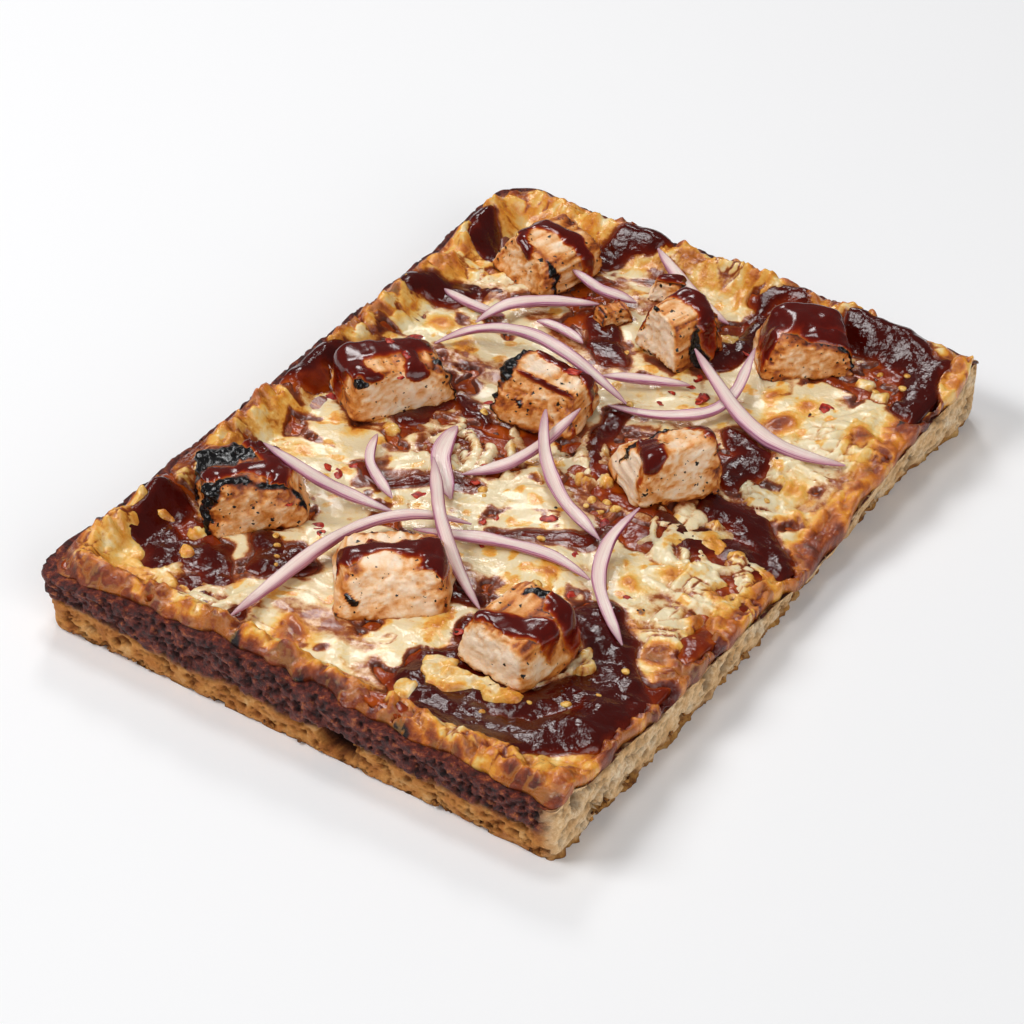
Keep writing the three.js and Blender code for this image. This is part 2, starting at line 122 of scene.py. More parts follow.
def noise(points, size, seed):
    """Value noise from -1 to 1 with lumps of the given size in mm."""
    place = points / size
    cell = np.floor(place).astype(np.int64)
    part = place - cell
    part = part * part * (3 - 2 * part)
    total = 0
    for corner in itertools.product((0, 1), repeat=3):
        weight = np.prod(np.where(np.array(corner) == 1, part, 1 - part), axis=-1)
        total = total + weight * hashed(cell + np.array(corner), seed)
    return 2 * total - 1


def rough(points, size, seed):
    """Noise with two finer octaves on it, each half the size and half the height."""
    return sum(noise(points, size / 2**k, seed + 11 * k) / 2**k for k in range(3)) / 1.5


def cells(points, size, seed):
    """Distance in cell sizes to the nearest of scattered seeds, and that seed's random number."""
    place = points / size
    cell = np.floor(place).astype(np.int64)
    nearest = np.full(points.shape[:-1], 9.0)
    tag = np.zeros(points.shape[:-1])
    for offset in itertools.product((-1, 0, 1), repeat=3):
        other = cell + np.array(offset)
        spot = other + np.stack([hashed(other, seed + k) for k in range(3)], axis=-1)
        gap = np.linalg.norm(place - spot, axis=-1)
        closer = gap < nearest
        nearest = np.where(closer, gap, nearest)
        tag = np.where(closer, hashed(other, seed + 5), tag)
    return nearest, tag


def pits(points, size, seed, radii, edge):
    """Scattered pits, 0 outside to 1 inside, with radii between two shares of their spacing."""
    gap, tag = cells(points, size, seed)
    return ramp(mixed(*radii, tag) - gap, *edge)


def stacked(x, y, z):
    """Points from their coordinates."""
    return np.stack(np.broadcast_arrays(x, y, z), axis=-1).astype(float)


def inset(x, y):
    """Distance in mm from the nearest baked wall, round at the pan corners."""
    side = x - LEFT
    end = np.minimum(y - FRONT, BACK - y)
    corner = PAN_CORNER - np.hypot(PAN_CORNER - side, PAN_CORNER - end)
    return np.where((side > PAN_CORNER) | (end > PAN_CORNER), np.minimum(side, end), corner)


def between(keys, at):
    """Smooth value between (position, value) keys."""
    value = np.full(np.shape(at), float(keys[0][1]))
    for (start, low), (end, high) in zip(keys, keys[1:]):
        value = np.where(at >= start, mixed(low, high, ramp(at, start, end)), value)
    return value


def rim_crest(x, y):
    """Height of the rim in mm, which rises towards the front and the back."""
    front = (1 - ramp(y, -105, -70)) * np.exp(-(((x + 25) / 45) ** 2))
    back = ramp(y, 70, 105) * (1 - ramp(x, 20, 70))
    return RIM_LOW + RIM_FRONT_RISE * front + RIM_BACK_RISE * back


def crust_top(x, y):
    """Top of the bread in mm: a rim along the baked walls that sags towards the cut."""
    bed = mixed(BED, between(CUT_TOP, y) - TOPPING, ramp(x, 30, CUT))
    deep = inset(x, y)
    rim = 1 - ramp(deep, RIM_CREST, RIM_WIDTH)
    lumps = 0.9 * bumps(x, y, 13, 1) * rim
    edge = RIM_ROUND * (1 - ramp(deep, 0, RIM_CREST))
    return bed + (rim_crest(x, y) - bed + lumps) * rim - edge * rim


def belly(y):
    """How hollow the foot of the cut wall is along its length, from 0 to 1."""
    return ramp(y, -20, 40) * (1 - ramp(y, 70, 112))


def outline(step):
    """Plan outline, anticlockwise: x, y, the outward normal, and how far the wall is baked."""
    corners = [
        (CUT, BACK, CUT_CORNER), (LEFT, BACK, BACK_CORNER),
        (LEFT, FRONT, FRONT_CORNER), (CUT, FRONT, CUT_CORNER),
    ]
    rows = []
    for index, (x, y, radius) in enumerate(corners):
        middle = np.array([x - np.sign(x) * radius, y - np.sign(y) * radius])
        steps = max(3, round(radius * math.pi / 2 / step))
        turns = (index + np.arange(steps) / steps) * math.pi / 2
        normals = np.stack([np.cos(turns), np.sin(turns)], axis=1)
        rows.append(np.hstack([middle + radius * normals, normals]))
        end = (index + 1) * math.pi / 2
        normal = np.array([math.cos(end), math.sin(end)])
        x2, y2, radius2 = corners[(index + 1) % 4]
        middle2 = np.array([x2 - np.sign(x2) * radius2, y2 - np.sign(y2) * radius2])
        start, stop = middle + radius * normal, middle2 + radius2 * normal
        steps = round(np.linalg.norm(stop - start) / step)
        share = (np.arange(steps) / steps)[:, None]
        rows.append(np.hstack([mixed(start, stop, share), np.tile(normal, (steps, 1))]))
    ring = np.vstack(rows)
    return ring, ramp(CUT - ring[:, 0], 0, 6)


def lofted(loops):
    """Vertices and faces of a closed body through loops of equally many points."""
    count = len(loops[0])
    points = np.vstack([*loops, loops[0].mean(axis=0)[None], loops[-1].mean(axis=0)[None]])
    index = np.arange(len(loops) * count).reshape(len(loops), count)
    after = np.roll(index, -1, axis=1)
    quads = np.stack([index[:-1], after[:-1], after[1:], index[1:]], axis=-1).reshape(-1, 4)
    first, last = len(points) - 2, len(points) - 1
    faces = quads.tolist()
    faces += [[after[0, i], index[0, i], first] for i in range(count)]
    faces += [[index[-1, i], after[-1, i], last] for i in range(count)]
    return points, faces


def placed(name, data):
    """New object with its data, linked to the scene."""
    made = bpy.data.objects.new(name, data)
    bpy.context.scene.collection.objects.link(made)
    return made


def piece(name, points, faces, **fields):
    """Smooth mesh object: points in mm, faces turned outwards, a float attribute for each field."""
    mesh = bpy.data.meshes.new(name)
    mesh.from_pydata((points * MM).tolist(), [], faces)
    for field, values in fields.items():
        mesh.attributes.new(field, "FLOAT", "POINT").data.foreach_set("value", values)
    shape = bmesh.new()
    shape.from_mesh(mesh)
    bmesh.ops.recalc_face_normals(shape, faces=shape.faces)
    shape.to_mesh(mesh)
    shape.free()
    mesh.polygons.foreach_set("use_smooth", [True] * len(mesh.polygons))
    return placed(name, mesh)


def colour(code):
    """Linear colour of an sRGB hex value."""
    parts = [int(code[k : k + 2], 16) / 255 for k in (1, 3, 5)]
    return tuple(p / 12.92 if p <= 0.04045 else ((p + 0.055) / 1.055) ** 2.4 for p in parts) + (1.0,)


def plug(node, sockets):
    """Set or link a node's inputs, by name or in order. A hex text is a colour."""
    ports = [port for port in node.inputs if port.enabled]
    if isinstance(sockets, dict):
        ports = [next(p for p in ports if name in (p.name, p.identifier)) for name in sockets]
        sockets = sockets.values()
    for port, value in zip(ports, sockets):
        if isinstance(value, bpy.types.Node):
            value = next(s for s in value.outputs if s.enabled)
        if isinstance(value, bpy.types.NodeSocket):
            node.id_data.links.new(value, port)
        else:
            port.default_value = colour(value) if str(value).startswith("#") else value


def add(tree, kind, sockets=(), stops=(), **settings):
    """Node with its settings, its socket values or links, and its colour stops."""
    made = tree.nodes.new(kind)
    for name, value in settings.items():
        setattr(made, name, value)
    if stops:
        band = made.color_ramp
        band.elements.remove(band.elements[1])
        band.elements[0].position = stops[0][0]
        band.elements[0].color = colour(stops[0][1])
        for place, shade in stops[1:]:
            band.elements.new(place).color = colour(shade)
    plug(made, sockets)
    return made


def finish(name):
    """New material: its tree, and its Principled shader."""
    material = bpy.data.materials.new(name)
    material.use_nodes = True
    return material, material.node_tree, material.node_tree.nodes["Principled BSDF"]


ring, baked = outline(WALL_STEP)
wall_top = crust_top(ring[:, 0], ring[:, 1])
share = np.linspace(0, 1, WALL_ROWS + 1)[:, None]
x, y, nx, ny = (ring[:, k][None] for k in range(4))
lump = 0.7 * bumps(x + y, 40 * share, 12, 3) * (share > 0)
baked_out = 0.1 + FLARE * share - TUCK * (1 - ramp(share, 0, 0.15)) + 0.6 * lump
cut_out = 0.4 * lump * (share < 1) - 0.5 - BOW * belly(y) * (1 - share)
out = mixed(cut_out, baked_out, baked[None])
wall = stacked(x + nx * out, y + ny * out, share * wall_top[None])

# Fried walls: a bubbly dark band above, oval pits below, and one big burst blister
heel_top = HEEL_HEIGHT + HEEL_CORNER * np.exp(-(((wall[..., 0] + 90) / 32) ** 2))
heel_top = heel_top + 1.6 * rough(wall, 16, 3) + 1.2 * noise(wall, 4, 5)
band = ramp(wall[..., 2], heel_top - 1.3, heel_top + 1.3) * baked[None]
bubble_pit = pits(wall, 2.1, 21, (0.3, 0.5), (-0.08, 0.12))
oval_pit = pits(wall * [0.72, 0.72, 1.0], 2.6, 31, (0.24, 0.58), (0, 0.14))
tiny_pit = pits(wall, 1.5, 33, (0.2, 0.45), (0, 0.14))
fried_out = 0.55 * rough(wall, 7, 8) + band * (rough(wall, 5, 9) - BUBBLE_DEPTH * bubble_pit)
fried_out = fried_out - (1 - band) * (OVAL_DEPTH * oval_pit + TINY_DEPTH * tiny_pit) + 0.5 * band
from_middle = (wall[..., [0, 2]] - BLISTER_AT) / BLISTER_HALF
hole = np.hypot(from_middle[..., 0], from_middle[..., 1]) + 0.2 * noise(wall, 4, 12)
hole = (1 - ramp(hole, 0.72, 0.94)) * (wall[..., 1] < FRONT + 5)
fried_out = fried_out * (1 - hole) - BLISTER_DEPTH * hole

# Cut wall: stretched pores in soft crumb, and a toasted ragged foot
open_pore = pits(wall * [1.0, 0.6, 0.75], 4.6, 41, (0.06, 0.62), (0, 0.1))
fine_pore = pits(wall * [1.0, 0.7, 1.0], 2.1, 51, (0.24, 0.6), (0, 0.12))
foot = 1 - ramp(wall[..., 2] + 1.6 * noise(wall, 4, 16), 0.8, 3.0)
crumb_out = 0.6 * rough(wall, 6, 14) - PORE_DEPTH * open_pore * (1 - foot) - FINE_PORE_DEPTH * fine_pore
crumb_out = crumb_out + foot * (1.5 * noise(wall, 3.2, 15) + 0.9 * noise(wall, 1.3, 17) - 0.7)

# The relief fades at the foot and at the top, and the wall stays inside the solids' box
push = mixed(crumb_out, fried_out, baked[None])
push = push * ramp(share, -0.06, 0.03) * (1 - 0.6 * ramp(share, 0.94, 1))
wall[..., 0] += nx * push
wall[..., 1] += ny * push
box_low, box_high = (np.array(corner) / MM for corner in cad_box)
wall = np.clip(wall, box_low + 0.05, box_high - 0.05)
wall[..., 2] = np.maximum(wall[..., 2], 0)
# How much shade the finish paints in: in pits and pores, and most in the burst blister, which counts 3
fried_pits = np.maximum(band * bubble_pit, (1 - band) * np.maximum(oval_pit, 0.6 * tiny_pit))
pit_field = mixed(np.maximum(open_pore, 0.6 * fine_pore), np.maximum(fried_pits, 3.0 * hole), baked[None])

top_loops, under_loops = [], []
for reach in (-1.2, 0.4, 2.0, 5.0, 9.0, 13.0, 30.0, 60.0):
    shrunk = stacked(
        mixed(LEFT + reach, CUT - 0.5 - max(reach, 0) / 6, (ring[:, 0] - LEFT) / (CUT - LEFT)),
        mixed(FRONT + reach, BACK - reach, (ring[:, 1] - FRONT) / (BACK - FRONT)),
        0,
    )
    shrunk[:, 2] = crust_top(shrunk[:, 0], shrunk[:, 1]) - 0.2 + 0.5 * noise(shrunk, 3, 19) * (reach < 2)
    top_loops.append(shrunk)
for keep in (0.5, 0.93):
    under_loops.append(wall[0] * np.array([keep, keep, 0]))
loops = [*under_loops, *wall, *top_loops]
points, faces = lofted(loops)


def on_wall(values, under, top):
    """One field over all loops of the bread: its value under the slab, on the wall, on the top."""
    count = ring.shape[0]
    rows = [np.full(count, under)] * len(under_loops) + list(values)
    rows += [np.full(count, top)] * len(top_loops)
    return np.concatenate([*rows, [under, top]])


bread = piece(
    "bread_slab", points, faces,
    cut=on_wall(np.repeat(1 - baked[None], WALL_ROWS + 1, axis=0), 0.0, 0.0),
    fried=on_wall(band, 0.0, 1.0),
    pit=on_wall(pit_field, 0.0, 0.0),
    foot=on_wall(foot * (1 - baked[None]), 1.0, 0.0),
)

# Baked bread: a dry matt surface, golden orange where it fried in oil, dark purple brown and a
# little glossy in the caramelised band, and soft cream crumb where it was cut, with shade painted
# into its pits, its pores and the burst blister.
material, tree, shader = finish("baked_bread")
place = add(tree, "ShaderNodeTexCoord").outputs["Object"]
is_cut, is_band, is_pit, is_foot = (
    add(tree, "ShaderNodeAttribute", attribute_name=field).outputs["Fac"]
    for field in ("cut", "fried", "pit", "foot")
)
height = add(tree, "ShaderNodeSeparateXYZ", {"Vector": place}).outputs["Z"]
# Broad mottling, floury grain and crackled sugar, each as its size in mm, detail and roughness
mottle, grain, crusty = (
    add(
        tree, "ShaderNodeTexNoise",
        {"Vector": place, "Scale": 1 / (size * MM), "Detail": detail, "Roughness": soft},
    )
    for size, detail, soft in ((6.25, 5.0, 0.65), (1.111, 4.0, 0.7), (2.381, 6.0, 0.75))
)
# Shades of the fried wall, the caramelised band, the crumb and its toasted foot
golden = add(
    tree, "ShaderNodeValToRGB", {"Fac": mottle},
    stops=[(0.3, "#a45c22"), (0.44, "#c37a34"), (0.56, "#d79449"), (0.7, "#e3b173")],
)
dark = add(
    tree, "ShaderNodeValToRGB", {"Fac": crusty},
    stops=[(0.36, "#1c0504"), (0.46, "#48100a"), (0.56, "#742a1c"), (0.68, "#bd6830")],
)
pale = add(
    tree, "ShaderNodeValToRGB", {"Fac": mottle},
    stops=[(0.3, "#e3ae70"), (0.5, "#f5d09e"), (0.7, "#fee9c8")],
)
toasted = add(
    tree, "ShaderNodeValToRGB", {"Fac": mottle},
    stops=[(0.3, "#4e260c"), (0.42, "#8f5820"), (0.54, "#c08a44"), (0.68, "#e0b676")],
)
# Painted shade: pits are darker than what is round them, and the blister is nearly black inside
pit_shade = add(tree, "ShaderNodeMath", [is_pit, 0.75], operation="MULTIPLY")
golden_pit_shaded = add(tree, "ShaderNodeMix", [pit_shade, golden, "#74380f"], data_type="RGBA")
dark_pit_shaded = add(tree, "ShaderNodeMix", [pit_shade, dark, "#140403"], data_type="RGBA")
wall_colour = add(tree, "ShaderNodeMix", [is_band, golden_pit_shaded, dark_pit_shaded], data_type="RGBA")
# Painted shade inside the burst blister
inside = add(tree, "ShaderNodeMapRange", [is_pit, 1.0, 2.0, 0.0, 0.92])
wall_colour = add(tree, "ShaderNodeMix", [inside, wall_colour, "#2a1007"], data_type="RGBA")
grainy = add(tree, "ShaderNodeMapRange", [grain, 0.56, 0.4, 0.0, 0.5])
open_crumb = add(tree, "ShaderNodeMix", [grainy, pale, "#c38c50"], data_type="RGBA")
# Painted shade in the pores of the cut crumb
pore_shade = add(tree, "ShaderNodeMath", [is_pit, 0.95], operation="MULTIPLY")
crumb_pore_shaded = add(tree, "ShaderNodeMix", [pore_shade, open_crumb, "#5a3c20"], data_type="RGBA")
crumb_colour = add(tree, "ShaderNodeMix", [is_foot, crumb_pore_shaded, toasted], data_type="RGBA")
body_colour = add(tree, "ShaderNodeMix", [is_cut, wall_colour, crumb_colour], data_type="RGBA")
# The heel that stood on the pan is seared
wobble = add(tree, "ShaderNodeMath", [mottle, 3 * MM], operation="MULTIPLY")
low = add(tree, "ShaderNodeMath", [height, wobble], operation="SUBTRACT")
seared = add(tree, "ShaderNodeMapRange", [is_cut, 0.0, 1.0, 0.8, 0.25])
heel = add(tree, "ShaderNodeMapRange", [low, -0.7 * MM, -1.7 * MM, 0.0, seared])
all_colour = add(tree, "ShaderNodeMix", [heel, body_colour, "#3d1c0c"], data_type="RGBA")
dry = add(tree, "ShaderNodeMapRange", [is_band, 0.0, 1.0, 0.82, 0.5])
skin = add(tree, "ShaderNodeBump", {"Height": grain, "Strength": 0.7, "Distance": 1.6 * MM})
plug(shader, {
    "Base Color": all_colour, "Roughness": dry, "Normal": skin, "IOR": 1.45,
})
bread.data.materials.append(material)
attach(bread, "root")
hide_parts("crust")

# Grilled chicken
# Chicken breast that was grilled whole, cut into dice of 20 to 30 mm and tossed with sauce, so each
# dice has browned and charred outsides, pale fibrous cuts, and a glossy cap of sauce on its top.

# How square the edges of a dice are, the cells along each, and how far it sinks into the cheese
EDGE_SHARPNESS, DICE_FACETS, DICE_SINK = 6.5, 30, 1.0
# Each dice: its place, turn and size, how far its sides (right, left, back, front) and top lean, and
# how brown those and the top are. Then on its top, in shares of its half sides, the runs of sauce and
# the charred spots, each as half width and path.
DICE = [
    dict(
        at=(-60, -55), turn=46, size=(28, 27, 15), lean=(0.45, 0.1, 0.1, 0.3), tilt=(0.1, 0.1),
        browned=(0.26, 0.5, 0.5, 0.34, 0.5),
        sauce=[(0.3, [(0.2, 0.9), (0.65, 0.1), (0.55, -0.6)]), (0.22, [(-0.8, -0.2), (0.3, -0.2)])],
        char=[
            (0.3, [(-1.0, 0.35), (-0.2, 0.45), (0.4, 0.8)]), (0.22, [(-1.0, -1.3), (-0.85, -0.8)]),
            (0.26, [(0.3, -0.85), (0.75, -0.95)]), (0.15, [(-0.9, -0.55), (-0.1, -0.7)]),
        ],
    ),
    dict(
        at=(-56, 9), turn=54, size=(32, 21, 16), lean=(0.3, 0.1, 0.1, 0.15), tilt=(0.12, 0.05),
        browned=(0.36, 0.4, 0.5, 0.1, 0.4),
        sauce=[
            (0.55, [(-1.0, 0.3), (0.0, 0.5), (0.7, 0.6)]), (0.25, [(-0.9, 0.0), (-0.6, -1.0)]),
            (0.22, [(0.35, 0.2), (0.3, -1.3)]),
        ],
        char=[(0.1, [(-0.95, -1.1), (-0.85, -1.2)]), (0.05, [(0.9, -0.9), (0.95, 0.0)])],
    ),
    dict(
        at=(-53, 90), turn=-16, size=(24, 26, 14), lean=(0.2, 0.6, 0.1, 0.35), tilt=(0.2, 0.1),
        browned=(0.22, 0.0, 0.4, 0.3, 0.26),
        sauce=[
            (0.24, [(-0.8, -0.1), (0.3, 0.3), (1.1, 0.35)]),
            (0.2, [(-0.75, -0.1), (-0.3, -0.7), (0.1, -1.3)]),
        ],
        char=[(0.1, [(0.8, -0.8), (1.0, -0.7)])],
    ),
    dict(
        at=(3, 76), turn=-18, size=(18, 20, 18), lean=(0.15, 0.3, 0.1, 0.1), tilt=(0.2, 0.1),
        browned=(0.55, 0.25, 0.5, 0.02, 0.4),
        sauce=[(0.42, [(-1.0, 0.2), (-0.1, 0.5), (1.1, 0.3)]), (0.2, [(-1.0, 0.0), (-0.9, -0.8)])],
        char=[(0.14, [(0.9, 0.6), (1.0, -0.2)]), (0.1, [(-0.5, -0.9), (-0.3, -1.0)])],
    ),
    dict(
        at=(36, 93), turn=36, size=(26, 22, 14), lean=(0.2, 0.5, 0.2, 0.2), tilt=(0.15, -0.1),
        browned=(0.4, 0.3, 0.4, 0.34, 0.5),
        sauce=[
            (0.75, [(-0.6, 0.2), (0.6, 0.4)]), (0.4, [(0.2, -0.4), (0.8, -0.5)]),
            (0.25, [(-0.9, -0.2), (-0.9, -1.0)]),
        ],
        char=[(0.22, [(0.85, -1.0), (0.9, -1.4)])],
    ),
    dict(
        at=(-13, 28), turn=8, size=(26, 20, 15), lean=(0.1, 0.1, 0.1, 0.5), tilt=(0.15, 0.2),
        browned=(0.34, 0.5, 0.6, 0.34, 0.06),
        sauce=[
            (0.24, [(-0.5, 0.9), (0.5, 0.5), (1.1, 0.2)]),
            (0.22, [(-0.7, -0.7), (0.4, -1.0), (1.1, -1.1)]),
        ],
        char=[(0.13, [(-1.0, 0.9), (-0.95, 0.0), (-0.9, -1.2)]), (0.06, [(-0.5, -1.7), (-0.4, -1.8)])],
    ),
    dict(
        at=(34, 19), turn=52, size=(26, 21, 17.2), lean=(0.1, 0.3, 0.5, 0.1), tilt=(-0.1, 0.35),
        browned=(0.34, 0.05, 0.0, 0.24, 0.22),
        sauce=[(0.34, [(0.5, 0.7), (0.95, 0.2), (0.95, -0.6)]), (0.26, [(-0.5, 0.1), (-0.8, -1.2)])],
        char=[(0.1, [(-0.9, 0.3), (0.2, 0.5)]), (0.08, [(0.9, -1.0), (0.8, -1.2)])],
    ),
    dict(
        at=(-5, -62), turn=36, size=(31, 25, 13), lean=(0.3, 0.3, 0.2, 0.6), tilt=(0.0, 0.1),
        browned=(0.42, 0.2, 0.5, 0.08, 0.04),
        sauce=[(0.28, [(-0.8, -0.1), (-0.3, 0.2), (0.6, 0.1)]), (0.3, [(0.8, 0.4), (0.85, -0.5)])],
        char=[(0.09, [(-0.9, -0.95), (-0.85, -1.1)]), (0.1, [(-0.75, -1.75), (-0.6, -1.9)])],
    ),
    dict(
        at=(41, -67), turn=-8, size=(23, 25, 17), lean=(0.2, 0.3, 0.2, 0.2), tilt=(0.15, -0.1),
        browned=(0.36, 0.2, 0.4, 0.02, 0.4),
        sauce=[(0.36, [(-0.7, -0.9), (0.0, -0.55), (0.8, 0.0)]), (0.42, [(0.5, 0.8), (1.1, 0.7)])],
        char=[(0.14, [(-0.3, 0.5), (0.1, 0.6)])],
    ),
    dict(
        at=(-15, 97), turn=20, size=(12, 7, 8), lean=(0.3, 0.3, 0.3, 0.3), tilt=(0, 0),
        browned=(0.5, 0.2, 0.4, 0.1, 0.5),
        sauce=[(0.8, [(0.2, 0.2), (1.0, 0.3)])],
        char=[(0.3, [(0.8, -0.6), (1.0, -0.6)])],
    ),
    dict(
        at=(-23, 78), turn=60, size=(11, 8, 6), lean=(0.3, 0.3, 0.3, 0.3), tilt=(0, 0),
        browned=(0.4, 0.4, 0.4, 0.3, 0.35),
        sauce=[(0.3, [(0.6, 0.8), (1.0, 0.9)])],
        char=[(0.1, [(-0.9, -0.9), (-0.8, -0.9)])],
    ),
]


def away(path, x, y):
    """Distance in mm to a path of straight stretches."""
    best = np.full(np.shape(x), 1e3)
    for (x0, y0), (x1, y1) in zip(path, path[1:]):
        dx, dy = x1 - x0, y1 - y0
        share = np.clip(((x - x0) * dx + (y - y0) * dy) / (dx * dx + dy * dy), 0, 1)
        best = np.minimum(best, np.hypot(x - x0 - share * dx, y - y0 - share * dy))
    return best


def cheese_level(x, y):
    """Top of the melted cheese in mm, before its shreds and blisters."""
    deep = inset(x, y)
    mounds = 0.6 * bumps(x, y, 26, 5) + 0.3 * bumps(x, y, 11, 9)
    thinning = 0.5 + 0.5 * ramp(deep, RIM_CREST, RIM_WIDTH)
    lip = ramp(deep, -0.9, 2.6)
    return crust_top(x, y) + (SAUCE + 2 * GAP + (CHEESE + mounds) * thinning) * lip


def cube_sphere(facets):
    """Directions and quads of a cube's faces, each a grid, with shared edges."""
    ticks = np.linspace(-1, 1, facets + 1)
    across, up = np.meshgrid(ticks, ticks)
    points, faces = [], []
    for axis, sign in itertools.product(range(3), (-1, 1)):
        parts = [across, up]
        parts.insert(axis, np.full(up.shape, float(sign)))
        index = np.arange(up.size).reshape(up.shape) + len(points) * up.size
        points.append(np.stack(parts, axis=-1).reshape(-1, 3))
        corners = [index[:-1, :-1], index[:-1, 1:], index[1:, 1:], index[1:, :-1]]
        faces.append(np.stack(corners, axis=-1).reshape(-1, 4))
    points, faces = np.vstack(points), np.vstack(faces)
    points, merged = np.unique(np.round(points, 6), axis=0, return_inverse=True)
    return points, merged.reshape(-1)[faces].tolist()


def dice_shape(directions, size, lean, tilt):
    """Points of a dice with leaning faces, its outward directions, and how much each face counts."""
    long, wide, high = size
    right, left, back, front = lean
    sides = [(1, 0, right), (-1, 0, left), (0, 1, back), (0, -1, front), (*tilt, 1), (0, 0, -1)]
    normals = np.array(sides, float)
    lengths = np.linalg.norm(normals, axis=1)
    reach = np.array([long, long, wide, wide, high, high]) / 2 / lengths
    normals /= lengths[:, None]
    ways = directions * np.array([long, wide, high])
    ways /= np.linalg.norm(ways, axis=1, keepdims=True)
    pull = np.clip(ways @ normals.T / reach, 0, None) ** EDGE_SHARPNESS
    points = ways * (pull.sum(axis=1) ** (-1 / EDGE_SHARPNESS))[:, None]
    share = pull / pull.sum(axis=1, keepdims=True)
    outward = share @ normals
    return points, outward / np.linalg.norm(outward, axis=1, keepdims=True), share


def ragged_edge(tree, cloud, fine):
    """Uneven value round 0 that frays the edge of a stain: broad noise with fine noise on it."""
    broad, small = (
        add(tree, "ShaderNodeMath", [part, 0.5], operation="SUBTRACT") for part in (cloud, fine)
    )
    return add(tree, "ShaderNodeMath", [small, 0.5, broad], operation="MULTIPLY_ADD")


# Grilled chicken: damp white flesh that browns along its fibres and is flecked with pepper, oily
# black char on its edges, and a glassy red brown glaze that lies over both.
meat, tree, shader = finish("grilled_chicken")
place = add(tree, "ShaderNodeTexCoord").outputs["Object"]
glaze, sear, char, fibre_at = (
    add(tree, "ShaderNodeAttribute", attribute_name=field).outputs["Fac"]
    for field in ("glaze", "sear", "char", "fibre")
)
cloud = add(
    tree, "ShaderNodeTexNoise",
    {"Vector": place, "Scale": 1 / (4.167 * MM), "Detail": 4.0, "Roughness": 0.6},
)
fine = add(
    tree, "ShaderNodeTexNoise",
    {"Vector": place, "Scale": 1 / (0.9091 * MM), "Detail": 3.0, "Roughness": 0.6},
)
ragged = ragged_edge(tree, cloud, fine)
# Flesh that browns along its fibres
sear_at = add(tree, "ShaderNodeMath", [ragged, 0.5, sear], operation="MULTIPLY_ADD")
sear_fibre = add(tree, "ShaderNodeMath", [fibre_at, -0.21, sear_at], operation="MULTIPLY_ADD")
flesh = add(
    tree, "ShaderNodeValToRGB", {"Fac": sear_fibre},
    stops=[
        (0.0, "#fde2c6"), (0.18, "#f8cfa4"), (0.32, "#ecae70"), (0.46, "#d8873a"), (0.6, "#b05a1e"),
        (0.78, "#6e2b0f"), (0.95, "#2b110a"),
    ],
)
# Char, a few coarse grains of pepper, and a dust of it where the meat is browner
char_at = add(tree, "ShaderNodeMath", [ragged, 1.5, char], operation="MULTIPLY_ADD")
burnt = add(tree, "ShaderNodeMapRange", [char_at, 0.36, 0.74, 0.0, 1.0])
crooked = add(
    tree, "ShaderNodeVectorMath", [fine.outputs["Color"], (1.8 * MM, 1.8 * MM, 1.8 * MM), place],
    operation="MULTIPLY_ADD",
)
grains = add(tree, "ShaderNodeTexVoronoi", {"Vector": crooked, "Scale": 1 / (3.03 * MM)})
pick = add(tree, "ShaderNodeSeparateColor", {"Color": grains.outputs["Color"]})
grain_size = add(tree, "ShaderNodeMapRange", [pick.outputs["Red"], 0.6, 1.0, 0.0, 0.26])
pepper = add(tree, "ShaderNodeMath", [grains.outputs["Distance"], grain_size], operation="LESS_THAN")
dust = add(tree, "ShaderNodeTexVoronoi", {"Vector": crooked, "Scale": 1 / (1.316 * MM)})
dust_pick = add(tree, "ShaderNodeSeparateColor", {"Color": dust.outputs["Color"]})
dust_share = add(
    tree, "ShaderNodeMath", [sear_at, 0.3, dust_pick.outputs["Green"]], operation="MULTIPLY_ADD",
)
dust_size = add(tree, "ShaderNodeMapRange", [dust_share, 0.82, 1.1, 0.0, 0.4])
specks = add(tree, "ShaderNodeMath", [dust.outputs["Distance"], dust_size], operation="LESS_THAN")
peppered = add(tree, "ShaderNodeMath", [pepper, specks], operation="MAXIMUM")
dark_spots = add(tree, "ShaderNodeMath", [burnt, peppered], operation="MAXIMUM")
charred = add(tree, "ShaderNodeMix", [dark_spots, flesh, "#0b0809"], data_type="RGBA")
# Glaze: rust where it is thin, nearly black where it is thick
glaze_at = add(tree, "ShaderNodeMath", [ragged, 0.35, glaze], operation="MULTIPLY_ADD")
syrup = add(
    tree, "ShaderNodeValToRGB", {"Fac": glaze_at},
    stops=[(0.2, "#cf7a26"), (0.4, "#a8420c"), (0.66, "#7c1a05"), (0.98, "#520a03")],
)
glazed = add(tree, "ShaderNodeMapRange", [glaze_at, 0.16, 0.34, 0.0, 1.0])
whole = add(tree, "ShaderNodeMix", [glazed, charred, syrup], data_type="RGBA")
# Glaze and char are smooth and glossy, flesh is damp and grained
crusty = add(tree, "ShaderNodeMix", [burnt, 0.38, 0.15], data_type="FLOAT")
damp = add(tree, "ShaderNodeMix", [glazed, crusty, 0.16], data_type="FLOAT")
crusted = add(tree, "ShaderNodeMix", [burnt, 0.4, 0.22], data_type="FLOAT")
gritty = add(tree, "ShaderNodeMix", [glazed, crusted, 0.06], data_type="FLOAT")
grit = add(tree, "ShaderNodeBump", {"Height": fine, "Strength": gritty, "Distance": 0.7 * MM})
plug(shader, {
    "Base Color": whole, "Roughness": damp, "IOR": 1.45, "Subsurface Weight": 0.12,
    "Subsurface Radius": (3 * MM, 1.5 * MM, 0.8 * MM), "Subsurface Scale": 1.0, "Normal": grit,
})

